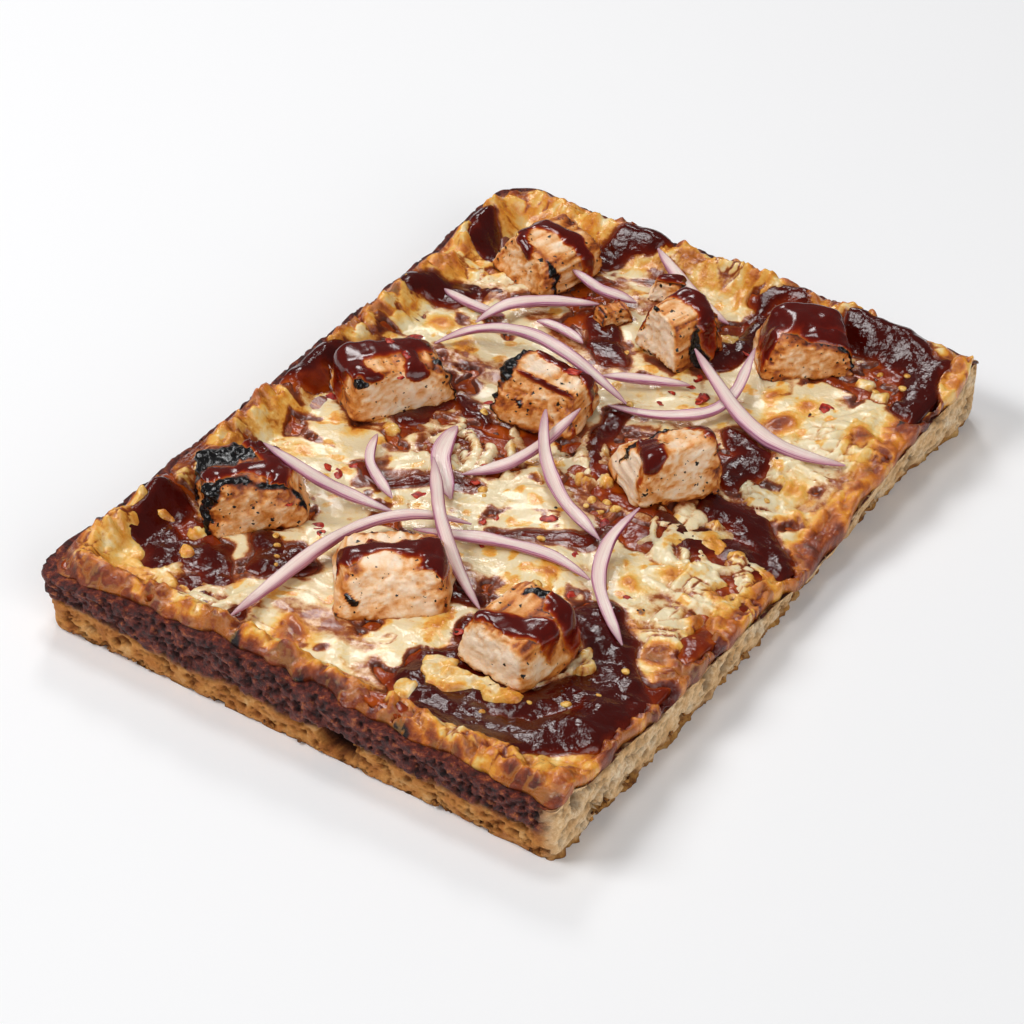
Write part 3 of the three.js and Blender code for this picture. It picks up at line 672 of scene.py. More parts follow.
directions, faces = cube_sphere(DICE_FACETS)
dices = []
for number, die in enumerate(DICE, 1):
    long, wide, high = die["size"]
    local, outward, share = dice_shape(directions, die["size"], die["lean"], die["tilt"])
    seed = 100 + 7 * number
    spot = local + [50.0 * number, 0, 0]

    # Places on the top in shares of the half sides, frayed, and run on down the front face
    share_x, share_y = local[:, 0] / (long / 2), local[:, 1] / (wide / 2)
    share_x = share_x + 0.14 * noise(spot, 5, seed) + 0.07 * noise(spot, 2, seed + 1)
    share_y = share_y + 0.14 * noise(spot, 5, seed + 2) + 0.07 * noise(spot, 2, seed + 3)
    share_y = np.where(outward[:, 1] < -0.5, -1 - 1.6 * (0.5 - local[:, 2] / high), share_y)
    below = np.clip(0.5 - local[:, 2] / high, 0, 1)
    glaze, char = np.zeros(len(local)), np.zeros(len(local))
    for half, path in die["sauce"]:
        inside = 1 - (away(path, share_x, share_y) / half) ** 2
        glaze = np.maximum(glaze, ramp(inside - 0.9 * below * (outward[:, 2] < 0.5), -0.25, 0.75))
    for half, path in die["char"]:
        char = np.maximum(char, ramp(1 - (away(path, share_x, share_y) / half) ** 2, -0.6, 0.6))

    # Fibres run across the dice, and its edges, foot and the skirts of sauce and char are browner
    grain = spot * [1 / 1.3, 1 / 9.0, 1 / 1.1] + 0.35 * noise(spot, 6, seed + 4)[:, None]
    fibre = noise(grain, 1.0, seed + 5) + 0.6 * noise(grain, 0.5, seed + 6)
    edges = 1 - share.max(axis=1)
    sear = share[:, :5] @ np.array(die["browned"]) + 0.3 * share[:, 5]
    sear = sear + 0.5 * edges + 0.22 * noise(spot, 8, seed + 8) + 0.12 * noise(spot, 3, seed + 11)
    sear = sear + 0.3 * ramp(below, 0.75, 1.0) + 0.3 * ramp(glaze, 0.0, 0.2) + 0.45 * ramp(char, 0.02, 0.5)

    # Relief: lumps, fibres, chipped edges, a coat of glaze and cracked char
    push = 1.5 * rough(spot, 11, seed + 9) + 0.5 * fibre * (1 - glaze) + 0.45 * noise(spot, 3.2, seed + 10)
    push = push - 1.2 * edges * noise(spot, 5, seed + 12)
    push = push + 0.8 * glaze + char * (2.4 * (0.6 - cells(spot, 2.5, seed + 7)[0]) + 0.3) - 0.4
    local = local + outward * push[:, None]
    local[:, 2] = np.maximum(local[:, 2], -high / 2 - 0.6)
    angle = math.radians(die["turn"])
    spin = [[math.cos(angle), math.sin(angle), 0], [-math.sin(angle), math.cos(angle), 0], [0, 0, 1]]
    middle = [*die["at"], cheese_level(*np.array(die["at"], float)) - DICE_SINK + high / 2]
    made = piece(
        f"chicken_dice_{number}", local @ np.array(spin) + np.array(middle), faces,
        glaze=np.clip(glaze, 0, 1), sear=np.clip(sear, 0, 1), char=np.clip(char, 0, 1), fibre=fibre,
    )
    made.data.materials.append(meat)
    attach(made, "root")
    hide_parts(f"chicken_{number}")
    dices.append(made)

# Barbecue sauce
# A thick sweet tomato and molasses sauce, spread under the cheese and spooned on after baking. It
# stands in glossy pools where it broke through the cheese and in rounded runs where it was drizzled.

# Step of the mesh in mm, and how far a run sinks into the cheese
TOP_STEP, RUN_SINK = 0.7, 0.2
# Each run is its half width, its height over the cheese, whether the cheese opens under it, and its path
RUNS = [
    (7.5, 2.0, 1, [(24, -88), (36, -97), (52, -99), (66, -94), (73, -82)]),
    (7.5, 1.8, 1, [(73, -82), (70, -64), (60, -50), (48, -43)]),
    (8.0, 1.5, 1, [(31, -85), (44, -86), (57, -83), (62, -70)]),
    (6.0, 1.5, 1, [(52, 20), (62, 19), (72, 12)]),
    (4.5, 1.3, 1, [(62, 6), (70, 6), (76, 8)]),
    (6.5, 1.9, 1, [(46, 108), (60, 110), (72, 103), (77, 88)]),
    (6.5, 1.6, 1, [(-77, -70), (-75, -81), (-64, -88)]),
    (5.0, 1.2, 1, [(-64, -87), (-54, -80), (-47, -86)]),
    (3.6, 1.0, 1, [(-52, -92), (-42, -99), (-34, -97)]),
    (4.5, 1.4, 1, [(-85, -4), (-84, 6), (-79, 12)]),
    (5.5, 1.8, 1, [(-83, 52), (-77, 59), (-68, 62)]),
    (3.0, 1.0, 0, [(-68, 63), (-58, 68), (-48, 73)]),
    (5.0, 1.5, 1, [(-80, 92), (-75, 87), (-67, 85)]),
    (4.6, 1.3, 1, [(-42, 104), (-36, 112), (-27, 115)]),
    (4.6, 1.3, 1, [(-24, 74), (-19, 64), (-10, 60)]),
    (4.0, 1.2, 1, [(13, 74), (18, 86), (18, 100)]),
    (4.6, 1.3, 1, [(-46, -68), (-39, -75), (-32, -68)]),
    (3.6, 1.0, 1, [(3, 40), (6, 28), (10, 16)]),
    (4.6, 1.3, 1, [(40, 50), (49, 43), (47, 34)]),
    (5.0, 1.3, 1, [(42, 4), (50, -1), (56, 6)]),
    (3.6, 1.1, 1, [(-48, 24), (-41, 12), (-45, 1)]),
    (2.2, 0.6, 0, [(-44, -23), (-32, -26), (-23, -17), (-14, -12)]),
    (2.2, 0.6, 0, [(8, -28), (18, -22), (28, -17), (33, -8)]),
    (3.6, 1.2, 1, [(0, -51), (9, -57), (20, -54)]),
    (3.2, 1.1, 1, [(22, -80), (28, -73), (25, -64)]),
    (2.0, 1.0, 0, [(-38, 18), (-32, 13), (-26, 12)]),
    (2.6, 1.1, 0, [(12, 98), (14, 108), (24, 112)]),
]
# Thin sauce smeared over the cheese: half width, strength from amber to rust, path
FILMS = [
    (5.0, 0.5, [(-40, -27), (-24, -18), (-12, -13)]),
    (4.5, 0.5, [(6, -29), (18, -23), (29, -17), (34, -8)]),
    (4.0, 0.5, [(-70, 64), (-58, 69), (-46, 74)]),
    (5.0, 0.28, [(2, 6), (12, 0), (26, -2), (34, -8)]),
    (7.0, 0.31, [(14, 12), (20, 0), (34, -2)]),
    (9.0, 0.37, [(-60, -96), (-44, -104), (-26, -106)]),
    (6.0, 0.31, [(10, -95), (28, -106), (50, -108)]),
    (6.0, 0.37, [(-84, -60), (-88, -40), (-86, -20)]),
    (6.0, 0.34, [(-88, 20), (-86, 36), (-84, 46)]),
    (8.0, 0.31, [(-60, 22), (-50, 34), (-38, 34)]),
    (6.0, 0.31, [(-40, 66), (-28, 62), (-12, 52)]),
    (5.0, 0.31, [(-30, 96), (-22, 88), (-12, 90)]),
    (5.0, 0.28, [(20, 44), (30, 42), (38, 48)]),
    (5.0, 0.31, [(56, -44), (66, -34), (72, -20)]),
    (6.0, 0.31, [(70, 30), (74, 48), (70, 64)]),
    (4.0, 0.31, [(-6, -44), (6, -48), (16, -47)]),
    (5.0, 0.31, [(-22, -86), (-10, -84), (2, -88)]),
]

# Where the cheese broke into islands and the sauce shows between them: x, y, radius, how far
BROKEN = [
    (-68, -72, 12, 0.75), (-50, -86, 12, 0.8), (-38, -99, 11, 0.75), (-10, -99, 10, 0.5),
    (20, -97, 11, 0.75), (36, -102, 9, 0.75), (-44, -50, 8, 0.55), (-82, -5, 10, 0.8),
    (-44, -4, 9, 0.65), (-28, 10, 12, 0.75), (-14, 2, 12, 0.7), (8, 16, 13, 0.75), (20, 3, 13, 0.8),
    (40, -1, 11, 0.9), (62, -3, 12, 0.75), (66, 12, 13, 0.9), (56, 32, 9, 0.4), (-46, 24, 9, 0.75),
    (-62, 54, 8, 0.5), (-40, 70, 11, 0.65), (-14, 62, 9, 0.75), (-34, 92, 11, 0.6), (15, 88, 12, 0.8),
    (20, 106, 11, 0.7), (50, 86, 10, 0.55), (62, 98, 12, 0.8), (-82, 58, 10, 0.7), (74, -15, 8, 0.7),
    (77, -36, 8, 0.75), (76, -60, 9, 0.8), (-86, -64, 8, 0.7), (46, -44, 8, 0.6), (-28, -30, 8, 0.5),
    (-18, -42, 7, 0.5), (22, -82, 9, 0.7), (-86, 30, 9, 0.6), (-74, 96, 9, 0.6), (76, 60, 8, 0.6),
    (44, 46, 9, 0.6), (12, 36, 9, 0.65), (-60, -4, 7, 0.3), (0, -62, 16, 0.3), (20, -50, 8, 0.5),
    (-70, -40, 12, 0.3),
]


def blob(x, y, cx, cy, radius):
    """Soft round spot, 1 in its middle."""
    return np.exp(-(((x - cx) ** 2 + (y - cy) ** 2) / radius**2))


def islands(wx, wy):
    """How far the sauce shows between islands of cheese: above 0 in the gaps."""
    zone = sum(share * blob(wx, wy, cx, cy, radius) for cx, cy, radius, share in BROKEN)
    stretched = stacked(wx, 1.5 * wy, 0)
    return 1.3 * np.clip(zone, 0, 0.8) + 0.95 * rough(stretched, 10, 67) - 0.74


def warped(x, y):
    """Places moved about by a few mm, so that edges laid out by them wander as melted food does."""
    flat = stacked(x, y, 0)
    dx = 2.4 * noise(flat, 10, 61) + 1.1 * noise(flat, 4, 62)
    dy = 2.4 * noise(flat, 10, 63) + 1.1 * noise(flat, 4, 64)
    return x + dx, y + dy


def run_fields(x, y):
    """Height of the sauce over the cheese, how far the cheese opens, the way in mm to a run's edge, and
    how far the cheese broke into islands."""
    wx, wy = warped(x, y)
    rise = np.full(np.shape(x), -SAUCE - CHEESE)
    opening = np.zeros(np.shape(x))
    gap = np.full(np.shape(x), 99.0)
    for half, high, opens, path in RUNS:
        far = away(path, wx, wy)
        inside = 1 - (far / half) ** 2
        dome = high * np.clip(inside, 0, 1) ** 0.55 - RUN_SINK
        skirt = -RUN_SINK - 4.0 * np.clip(-inside, 0, 1)
        rise = np.maximum(rise, np.where(inside > 0, dome, skirt))
        gap = np.minimum(gap, far - half)
        if opens:
            opening = np.maximum(opening, ramp(inside, 0.05, 0.5))
    broken = islands(wx, wy)
    opening = np.maximum(opening, ramp(broken, -0.04, 0.16))
    seeping = np.where(broken > -0.1, -1.2 + 1.1 * ramp(broken, -0.1, 0.5), -SAUCE - CHEESE)
    rise = np.maximum(rise, seeping)
    return rise, opening, gap, broken


def rounded(x, y, left, right, front, back, grow):
    """Places of a rectangle's grid, drawn in to a rectangle with round corners."""
    ends = ((left, -1), (right, 1)), ((front, -1), (back, 1))
    for (cx, sx), (cy, sy) in itertools.product(*ends):
        radius = CUT_CORNER if sx > 0 else (FRONT_CORNER if sy < 0 else BACK_CORNER) + grow
        mx, my = cx - sx * radius, cy - sy * radius
        dx, dy = (x - mx) * sx, (y - my) * sy
        corner = (dx > 0) & (dy > 0)
        scale = np.where(corner, np.maximum(dx, dy) / np.maximum(np.hypot(dx, dy), 1e-6), 1)
        x, y = mx + (x - mx) * scale, my + (y - my) * scale
    return x, y


def sheet_grid(grow, step, ragged=0.0):
    """Grid over the slice's top, grow mm past the walls' foot lines, with edges ragged by some mm."""
    left, right, front, back = LEFT - grow, CUT + min(grow, -0.4), FRONT - grow, BACK + grow
    xs = np.linspace(left, right, round((right - left) / step) + 1)
    ys = np.linspace(front, back, round((back - front) / step) + 1)
    x, y = np.meshgrid(xs, ys)
    x, y = rounded(x, y, left, right, front, back, grow)
    flat = stacked(x, y, 0)
    shift = ragged * (0.8 * noise(flat, 9, 65) + 0.6 * noise(flat, 4, 66))
    dx = shift * ((1 - ramp(right - x, 0, 5)) - (1 - ramp(x - left, 0, 6)))
    dy = shift * ((1 - ramp(back - y, 0, 6)) - (1 - ramp(y - front, 0, 6)))
    return x + dx, y + dy


def border(grid):
    """Values of a grid along its edge, anticlockwise from its first corner."""
    return np.concatenate([grid[0, :-1], grid[:-1, -1], grid[-1, :0:-1], grid[:0:-1, 0]])


def sheet(x, y, top, foot, bulge):
    """Closed layer: a fine top, an edge that swells by bulge in mm, and a coarse underside. Also
    gives for each of its points the grid point whose field values it takes."""
    rows, columns = x.shape
    index = np.arange(x.size).reshape(rows, columns)
    quads = np.stack([index[:-1, :-1], index[:-1, 1:], index[1:, 1:], index[1:, :-1]], axis=-1)
    faces = quads.reshape(-1, 4).tolist()
    points = [stacked(x, y, top).reshape(-1, 3)]
    edge = np.stack([border(x), border(y), border(top)], axis=-1)
    tangent = np.roll(edge, -1, axis=0) - np.roll(edge, 1, axis=0)
    outward = np.stack([tangent[:, 1], -tangent[:, 0]], axis=-1)
    outward /= np.linalg.norm(outward, axis=1, keepdims=True)
    low = foot(edge[:, 0], edge[:, 1])
    previous, count, start = border(index), len(edge), x.size
    loops = []
    for part in (0.25, 0.6, 1.0):
        swell = bulge * math.sin(math.pi * min(part + 0.15, 1.0))
        loops.append(np.column_stack([edge[:, :2] + outward * swell, mixed(edge[:, 2], low, part)]))
    for keep in (0.9, 0.6, 0.3):
        flat = edge[:, :2] * keep
        loops.append(np.column_stack([flat, foot(flat[:, 0], flat[:, 1])]))
    for loop in loops:
        current = np.arange(start, start + count)
        ahead, ahead_before = np.roll(current, -1), np.roll(previous, -1)
        faces += np.stack([previous, current, ahead, ahead_before], axis=-1).tolist()
        points.append(loop)
        previous, start = current, start + count
    points.append(loops[-1].mean(axis=0)[None])
    faces += [[previous[i], start, previous[(i + 1) % count]] for i in range(count)]
    source = [np.arange(x.size), *[border(index)] * len(loops), [0]]
    return np.vstack(points), faces, np.concatenate(source)


x, y = sheet_grid(-2.6, TOP_STEP)
level = cheese_level(x, y)
rise = run_fields(x, y)[0]
flat = stacked(x, y, 0)
wet = 0.55 * rough(flat, 6, 71) + 0.2 * noise(flat, 2.4, 72)
base = crust_top(x, y) + GAP + 0.2
sauce_z = np.maximum(level + rise + wet * ramp(rise, 0, 0.6), base)
last_columns = np.arange(x.shape[1])[None] > x.shape[1] - 3
sauce_z = np.where(last_columns, np.minimum(sauce_z, level - 0.5), sauce_z)
points, faces, source = sheet(x, y, sauce_z, lambda px, py: crust_top(px, py) + 0.1, 0.0)
sauce = piece("barbecue_sauce", points, faces, depth=np.clip(rise + 0.9, 0, 3).ravel()[source])

# Barbecue sauce: a near black red that turns rust at thin edges, wet and smooth as syrup, with
# fine pulp in it that breaks up the reflections.
material, tree, shader = finish("barbecue_sauce_wet")
place = add(tree, "ShaderNodeTexCoord").outputs["Object"]
depth = add(tree, "ShaderNodeAttribute", attribute_name="depth").outputs["Fac"]
pulp = add(
    tree, "ShaderNodeTexNoise",
    {"Vector": place, "Scale": 1 / (1.333 * MM), "Detail": 3.0, "Roughness": 0.6},
)
slow = add(tree, "ShaderNodeTexNoise", {"Vector": place, "Scale": 1 / (5 * MM), "Detail": 3.0})
# Rust where the sauce is thin, nearly black where it is deep
depth_share = add(tree, "ShaderNodeMath", [depth, 0.36], operation="MULTIPLY")
thick = add(tree, "ShaderNodeMath", [slow, 0.6, depth_share], operation="MULTIPLY_ADD")
syrup = add(
    tree, "ShaderNodeValToRGB", {"Fac": thick},
    stops=[(0.3, "#a3440c"), (0.5, "#802808"), (0.75, "#5c1203"), (1.0, "#410803")],
)
ripple = add(tree, "ShaderNodeBump", {"Height": pulp, "Strength": 0.22, "Distance": 0.9 * MM})
swell = add(
    tree, "ShaderNodeBump", {"Height": slow, "Strength": 0.3, "Distance": 1.5 * MM, "Normal": ripple},
)
plug(shader, {
    "Base Color": syrup, "Roughness": 0.09, "IOR": 1.47, "Specular IOR Level": 0.44, "Normal": swell,
})
sauce.data.materials.append(material)
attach(sauce, "root")
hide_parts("sauce")

# Melted cheese
# Shredded mozzarella that melted into one sheet: smooth cream with golden oil blisters in the
# middle, half melted shreds near the edges, and a lumpy rim that fried brown against the pan.

# Blisters that the oven browned: x, y, radius and how dark
BLISTERS = [
    (-75, -18, 7.0, 0.3), (-62, -28, 4.5, 0.32), (-16, -93, 5.0, 0.72), (45, 60, 5.0, 0.68),
    (50, 70, 4.0, 0.42), (65, 37, 4.5, 0.42), (70, 28, 3.5, 0.4), (15, -69, 4.0, 0.34),
    (50, -24, 3.5, 0.45), (57, -13, 4.0, 0.42), (48, -38, 3.0, 0.4), (60, -40, 3.2, 0.48),
    (-5, 116, 4.0, 0.45), (8, 112, 3.2, 0.5), (-65, 47, 4.0, 0.42), (-78, 70, 5.0, 0.5),
    (-67, 77, 3.2, 0.45), (58, 4, 4.0, 0.5), (28, -35, 2.4, 0.5), (-53, 42, 3.0, 0.4),
    (38, 72, 3.0, 0.45), (73, -30, 4.5, 0.8), (72, -45, 4.0, 0.82), (70, 66, 4.0, 0.75),
    (72, -16, 3.0, 0.7), (-55, -10, 3.0, 0.35), (10, 66, 2.5, 0.3), (-30, -60, 2.4, 0.4),
]
# Burnt spots: x, y, radius
BURNT = [
    (-20, -112, 3.2), (2, -114, 2.6), (34, -113, 3.2), (-84, -92, 2.2), (-62, 12, 1.3), (58, -33, 1.3),
    (-62, -20, 1.0), (77, 78, 1.3),
]
# Where the shreds kept their form: x, y, radius
SHREDDED = [
    (-74, -94, 18), (8, 12, 13), (-24, 3, 13), (64, 0, 17), (58, 34, 15), (-64, 78, 15), (-20, 2, 12),
    (60, -106, 14), (-88, 40, 12), (72, -36, 14), (4, 113, 13), (-88, -30, 11), (34, -106, 10),
    (46, 0, 12), (70, -10, 12), (46, -78, 9), (60, -63, 8), (-44, -98, 12), (68, 62, 12),
]
# Where the sheet shines with amber drops of oil: x, y, radius
OILY = [
    (56, -30, 20), (66, 34, 16), (50, 66, 14), (-74, -20, 16), (-70, 74, 12), (2, 114, 14),
    (16, -68, 10), (-56, 44, 12),
]
# How many shreds are laid in all
SHREDS = 400
# Cheese that stands clear of the sauce in rounded clumps: x, y, radius
CLUMPS = [
    (26, -82, 4.0), (32, -86, 4.4), (39, -84, 4.0), (46, -86, 4.0), (52, -83, 3.4), (23, -95, 4.0),
    (60, -63, 3.4), (56, -57, 2.4), (66, 2, 3.2), (60, -8, 3.0), (54, 12, 2.6), (12, 88, 3.6),
    (60, 90, 2.8), (66, 86, 2.4), (-74, -76, 2.4), (-62, -76, 3.0), (-58, -84, 2.4), (20, 10, 2.6),
    (13, 6, 2.4), (-52, -2, 2.6), (-47, -6, 2.2),
]
# Where the oven turned the cheese golden in broad patches: x, y, radius, how dark
GOLDEN = [
    (-78, -92, 14, 0.38), (-84, -70, 8, 0.24), (-64, -104, 11, 0.3), (66, -105, 13, 0.24),
    (80, 98, 13, 0.26), (-87, -30, 8, 0.22), (-88, 40, 10, 0.24), (79, 60, 9, 0.24),
    (10, 114, 16, 0.16), (-20, -106, 12, 0.2), (20, -107, 12, 0.22), (-80, 76, 9, 0.2),
    (78, -50, 8, 0.24), (-84, 104, 12, 0.26),
]
# Corners where the fried edge stayed light: x, y, radius, how dark
CORNERS = [(-77, -95, 13, 0.18), (76, -110, 13, 0.27)]
# Where the sheet melted smooth: x, y, radius
CALM = [
    (-60, -20, 14), (4, -20, 14), (14, -64, 10), (4, 58, 14), (-38, 44, 12), (48, -22, 14),
    (48, 64, 10), (-14, -88, 10),
]


def coverage(x, y, spots, more=0.0):
    """How far soft spots, each x, y and radius, cover a place, from 0 to 1."""
    return np.clip(sum(blob(x, y, *spot) for spot in spots) + more, 0, 1)


def strands(x, y, seed):
    """Half melted shreds laid over each other: their height, and the creases beside them."""
    rng = np.random.default_rng(seed)
    high, crease = np.zeros(x.shape), np.zeros(x.shape)
    laid = 0
    while laid < SHREDS:
        cx, cy = rng.uniform(LEFT, CUT), rng.uniform(FRONT, BACK)
        turn, bend = rng.uniform(0, math.pi), rng.uniform(-0.05, 0.05)
        half, radius = rng.uniform(3.0, 9.5), rng.uniform(1.1, 2.1)
        near = (math.exp(-((cx - sx) ** 2 + (cy - sy) ** 2) / size**2) for sx, sy, size in SHREDDED)
        chance = 0.03 + sum(near)
        chance += 0.3 if inset(np.array(cx), np.array(cy)) < 10 else 0
        if rng.uniform() > chance:
            continue
        laid += 1
        window = (np.abs(x - cx) < half + 2.5) & (np.abs(y - cy) < half + 2.5)
        dx, dy = x[window] - cx, y[window] - cy
        along = dx * math.cos(turn) + dy * math.sin(turn)
        across = dy * math.cos(turn) - dx * math.sin(turn)
        across = across - bend * along**2
        gap = np.hypot(np.maximum(np.abs(along) - half, 0), across) / radius
        dome = radius * np.sqrt(np.clip(1 - gap**2, 0, 1))
        high[window] = np.where(gap < 1, 0.45 * high[window] + dome, high[window])
        beside = np.exp(-(((gap - 1.1) / 0.35) ** 2))
        crease[window] = np.where(gap < 0.9, 0.2 * crease[window], np.maximum(crease[window], beside))
    return high, crease


def dice_gap(x, y):
    """Distance in mm from the nearest side of a chicken dice, below 0 under it."""
    nearest = np.full(np.shape(x), 99.0)
    for die in DICE:
        (cx, cy), (long, wide, _) = die["at"], die["size"]
        angle = math.radians(die["turn"])
        along = (x - cx) * math.cos(angle) + (y - cy) * math.sin(angle)
        across = (y - cy) * math.cos(angle) - (x - cx) * math.sin(angle)
        nearest = np.minimum(nearest, np.maximum(np.abs(along) - long / 2, np.abs(across) - wide / 2))
    return nearest


x, y = sheet_grid(-0.7, TOP_STEP, 1.5)
wx, wy = warped(x, y)
flat, warped_flat = stacked(x, y, 0), stacked(wx, wy, 0)
deep = inset(x, y)
level = cheese_level(x, y)
rise, opening, gap, broken = run_fields(x, y)

# Zones: the rim that fried against the pan, the edge at the cut, and the steep inner slope
rimness = 1 - ramp(deep + 2.5 * noise(flat, 14, 79), 6, 16)
cut_edge = ramp(x, CUT - 13, CUT - 4)
fried = np.maximum(rimness, 0.8 * cut_edge)
down_y, down_x = np.gradient(level, TOP_STEP)
steep = ramp(np.hypot(down_x, down_y), 0.4, 1.1)
oily = coverage(x, y, OILY)
calm = coverage(x, y, CALM)

# Half melted shreds, which also bridge the openings over the sauce
shreds, creases = strands(x, y, 4)
strewn = coverage(x, y, SHREDDED, 0.35 * rimness)
laid = strewn * ramp(shreds, 0.35, 0.8)
opening = opening * (1 - 0.95 * laid * ramp(noise(flat, 9, 93), -0.4, 0.1))
relief = 0.3 * rough(flat, 7, 81) + (0.8 * rough(flat, 7, 82) + 0.45 * noise(flat, 3, 83)) * rimness
relief = relief + (0.1 + 0.75 * strewn) * np.minimum(shreds, 1.8) - 0.35 * strewn * creases

# Fried lumps with crevices between them, crisp grains, clumps clear of the sauce, and folds
lump_gap, lump_tag = cells(warped_flat, 4.1, 96)
fried_lump = np.sqrt(np.clip(1 - (lump_gap / 0.72) ** 2, 0, 1))
crevice_toast_and_shade = fried * (1 - ramp(fried_lump, 0.2, 0.7))
relief = (relief + fried * (2.7 * fried_lump * (0.3 + 0.8 * lump_tag) - 0.8)) * (1 - 0.55 * steep)
crisp, crisp_tag = cells(warped_flat, 2.3, 104)
relief = relief + 1.1 * fried * (0.45 - crisp)
clump = coverage(wx, wy, CLUMPS)
dome = np.sqrt(clump)
clump = ramp(clump + 0.16 * noise(flat, 3, 102), 0.25, 0.5)
opening = opening * (1 - clump)
clump_high = np.clip(rise, 0, 3) + 1.2 * dome + 0.5 * noise(flat, 3, 101) + 1.6 * (0.5 - crisp)
fold = 1 - ramp(np.abs(rough(stacked(wx, 1.6 * wy, 0), 12, 98)), 0.0, 0.13)
fold = fold * (1 - 0.85 * calm) * ramp(noise(flat, 16, 99), -0.5, 0.3)
relief = relief + clump * clump_high - 0.35 * fold

# How toasted it is: blisters and drops of oil, the rim, the cut edge, the clumps, and the crevices
# between the fried lumps, which are darker partly from frying and partly as painted shade
browned = []
for cx, cy, radius, brown in BLISTERS:
    spot = blob(wx, wy, cx, cy, radius)
    browned.append(brown * spot**0.8)
    relief = relief + 0.7 * brown * ramp(spot, 0.3, 0.7) - 0.3 * brown * ramp(spot, 0.8, 1.0)
drop, drop_tag = cells(warped_flat, 6.0, 91)
drop = 1 - ramp(drop, 0.12 + 0.2 * drop_tag, 0.22 + 0.24 * drop_tag)
drop = drop * (0.8 + 0.35 * np.sin(math.pi * drop))
browned.append((0.3 + 0.1 * oily) * drop * (drop_tag > 0.4 - 0.4 * oily))
edge_toast = (0.2 + 0.24 * (1 - ramp(deep, 1.5, 7))) * ramp(rimness, 0, 0.7)
edge_toast = edge_toast * (1 + 0.35 * ramp(-y, 96, 106))
browned.append(edge_toast * (1 + 1.1 * rough(flat, 7, 84)) + 0.14 * rimness * noise(flat, 3, 89))
edge_dark = 1 - ramp(deep + 2.0 * rough(flat, 7, 88), 1.2, 3.8)
browned.append(0.8 * edge_dark * (1 - 0.8 * ramp(x, 40, 78)))
browned.append(cut_edge * (0.34 + 0.18 * (1 - ramp(y, 20, 50)) + 0.5 * rough(flat, 8, 85)))
# Crevices between the fried lumps: partly fried brown, partly painted shade
browned.append(crevice_toast_and_shade * (0.54 + 0.34 * noise(flat, 9, 97)))
toast = np.maximum.reduce([*browned, np.zeros(x.shape)])
toast = toast + fried * (0.16 * (crisp_tag - 0.5) + 0.14 * (lump_tag - 0.5))
clump_toast = 0.16 + 0.3 * (1 - dome) + 0.2 * noise(flat, 4, 105) + 0.2 * (crisp_tag - 0.5)
golden_zone = np.clip(sum(brown * blob(wx, wy, *spot) for *spot, brown in GOLDEN), 0, 0.38)
golden_toast = golden_zone * (1 + 0.6 * rough(flat, 6, 103))
steep_toast = steep * (0.17 + 0.2 * rough(flat, 5, 107))
toast = np.maximum.reduce([toast, clump * clump_toast, golden_toast, steep_toast])
for cx, cy, radius, brown in CORNERS:
    corner = 0.8 * blob(wx, wy, cx, cy, radius) * ramp(deep, 1.5, 4.5)
    toast = mixed(toast, brown + 0.16 * (crisp_tag - 0.5) + 0.1 * noise(flat, 6, 108), corner)
toast = np.minimum(toast, 0.66 + 0.1 * noise(flat, 4, 106))
for burnt_spot in BURNT:
    spot = ramp(blob(wx, wy, *burnt_spot), 0.3, 0.75)
    toast = np.maximum(toast, spot)
    relief = relief + 0.5 * spot
fresh = np.maximum(0.5 * laid, 0.2 * clump) * (1 - 0.8 * fried)
fresh = np.clip(fresh - 3 * golden_zone, 0, 1)
toast = toast * (1 - 0.5 * fresh)

# How much sauce film is on it: the films and the banks of the pools, and round the foot of each dice
# and in the folds and creases, where the film is partly sauce and partly painted shade
smears_and_shade = [0.64 * (1 - ramp(gap, -0.8, 2.6)), 0.6 * ramp(broken, -0.42, 0.06), 0.32 * fold]
for half, strength, path in FILMS:
    smears_and_shade.append(strength * ramp(1 - (away(path, wx, wy) / half) ** 2, -0.3, 0.8))
# Round the foot of each dice: a dark film, partly sauce and partly painted shade
smears_and_shade.append(0.6 * (1 - ramp(dice_gap(wx, wy), -1.0, 2.2)) * ramp(noise(flat, 12, 94), -0.5, 0.1))
standing_clear = np.maximum.reduce([laid, clump, ramp(relief, 0.6, 1.4)])
film_and_shade = np.maximum.reduce(smears_and_shade) * (1 - 0.8 * standing_clear)
# Between the shreds: film in the creases and low places, partly sauce and partly painted shade
valley = strewn * np.maximum(creases, 0.8 * (1 - ramp(shreds, 0.05, 0.4)))
crease_film_and_shade = 0.42 * valley * (0.7 + 0.7 * noise(flat, 7, 92))
marble = rough(flat, 13, 86) + 0.6 * rough(flat, 5, 87)
film_and_shade = np.maximum.reduce([film_and_shade, crease_film_and_shade, 0.26 * ramp(marble, 0.6, 1.0)])

cheese_z = level + relief * ramp(deep, 0.0, 2.5) - (CHEESE + 0.5) * opening
cheese_z = np.maximum(cheese_z, crust_top(x, y) - 0.1)
points, faces, source = sheet(x, y, cheese_z, lambda px, py: crust_top(px, py) - 0.3, 0.4)
points = np.clip(points, box_low + 0.03, box_high - 0.03)
fields = {"toast": np.clip(toast, 0, 1), "film_and_shade": np.clip(film_and_shade, 0, 1), "fresh": fresh}
cheese = piece(
    "melted_cheese", points, faces, **{name: values.ravel()[source] for name, values in fields.items()}
)
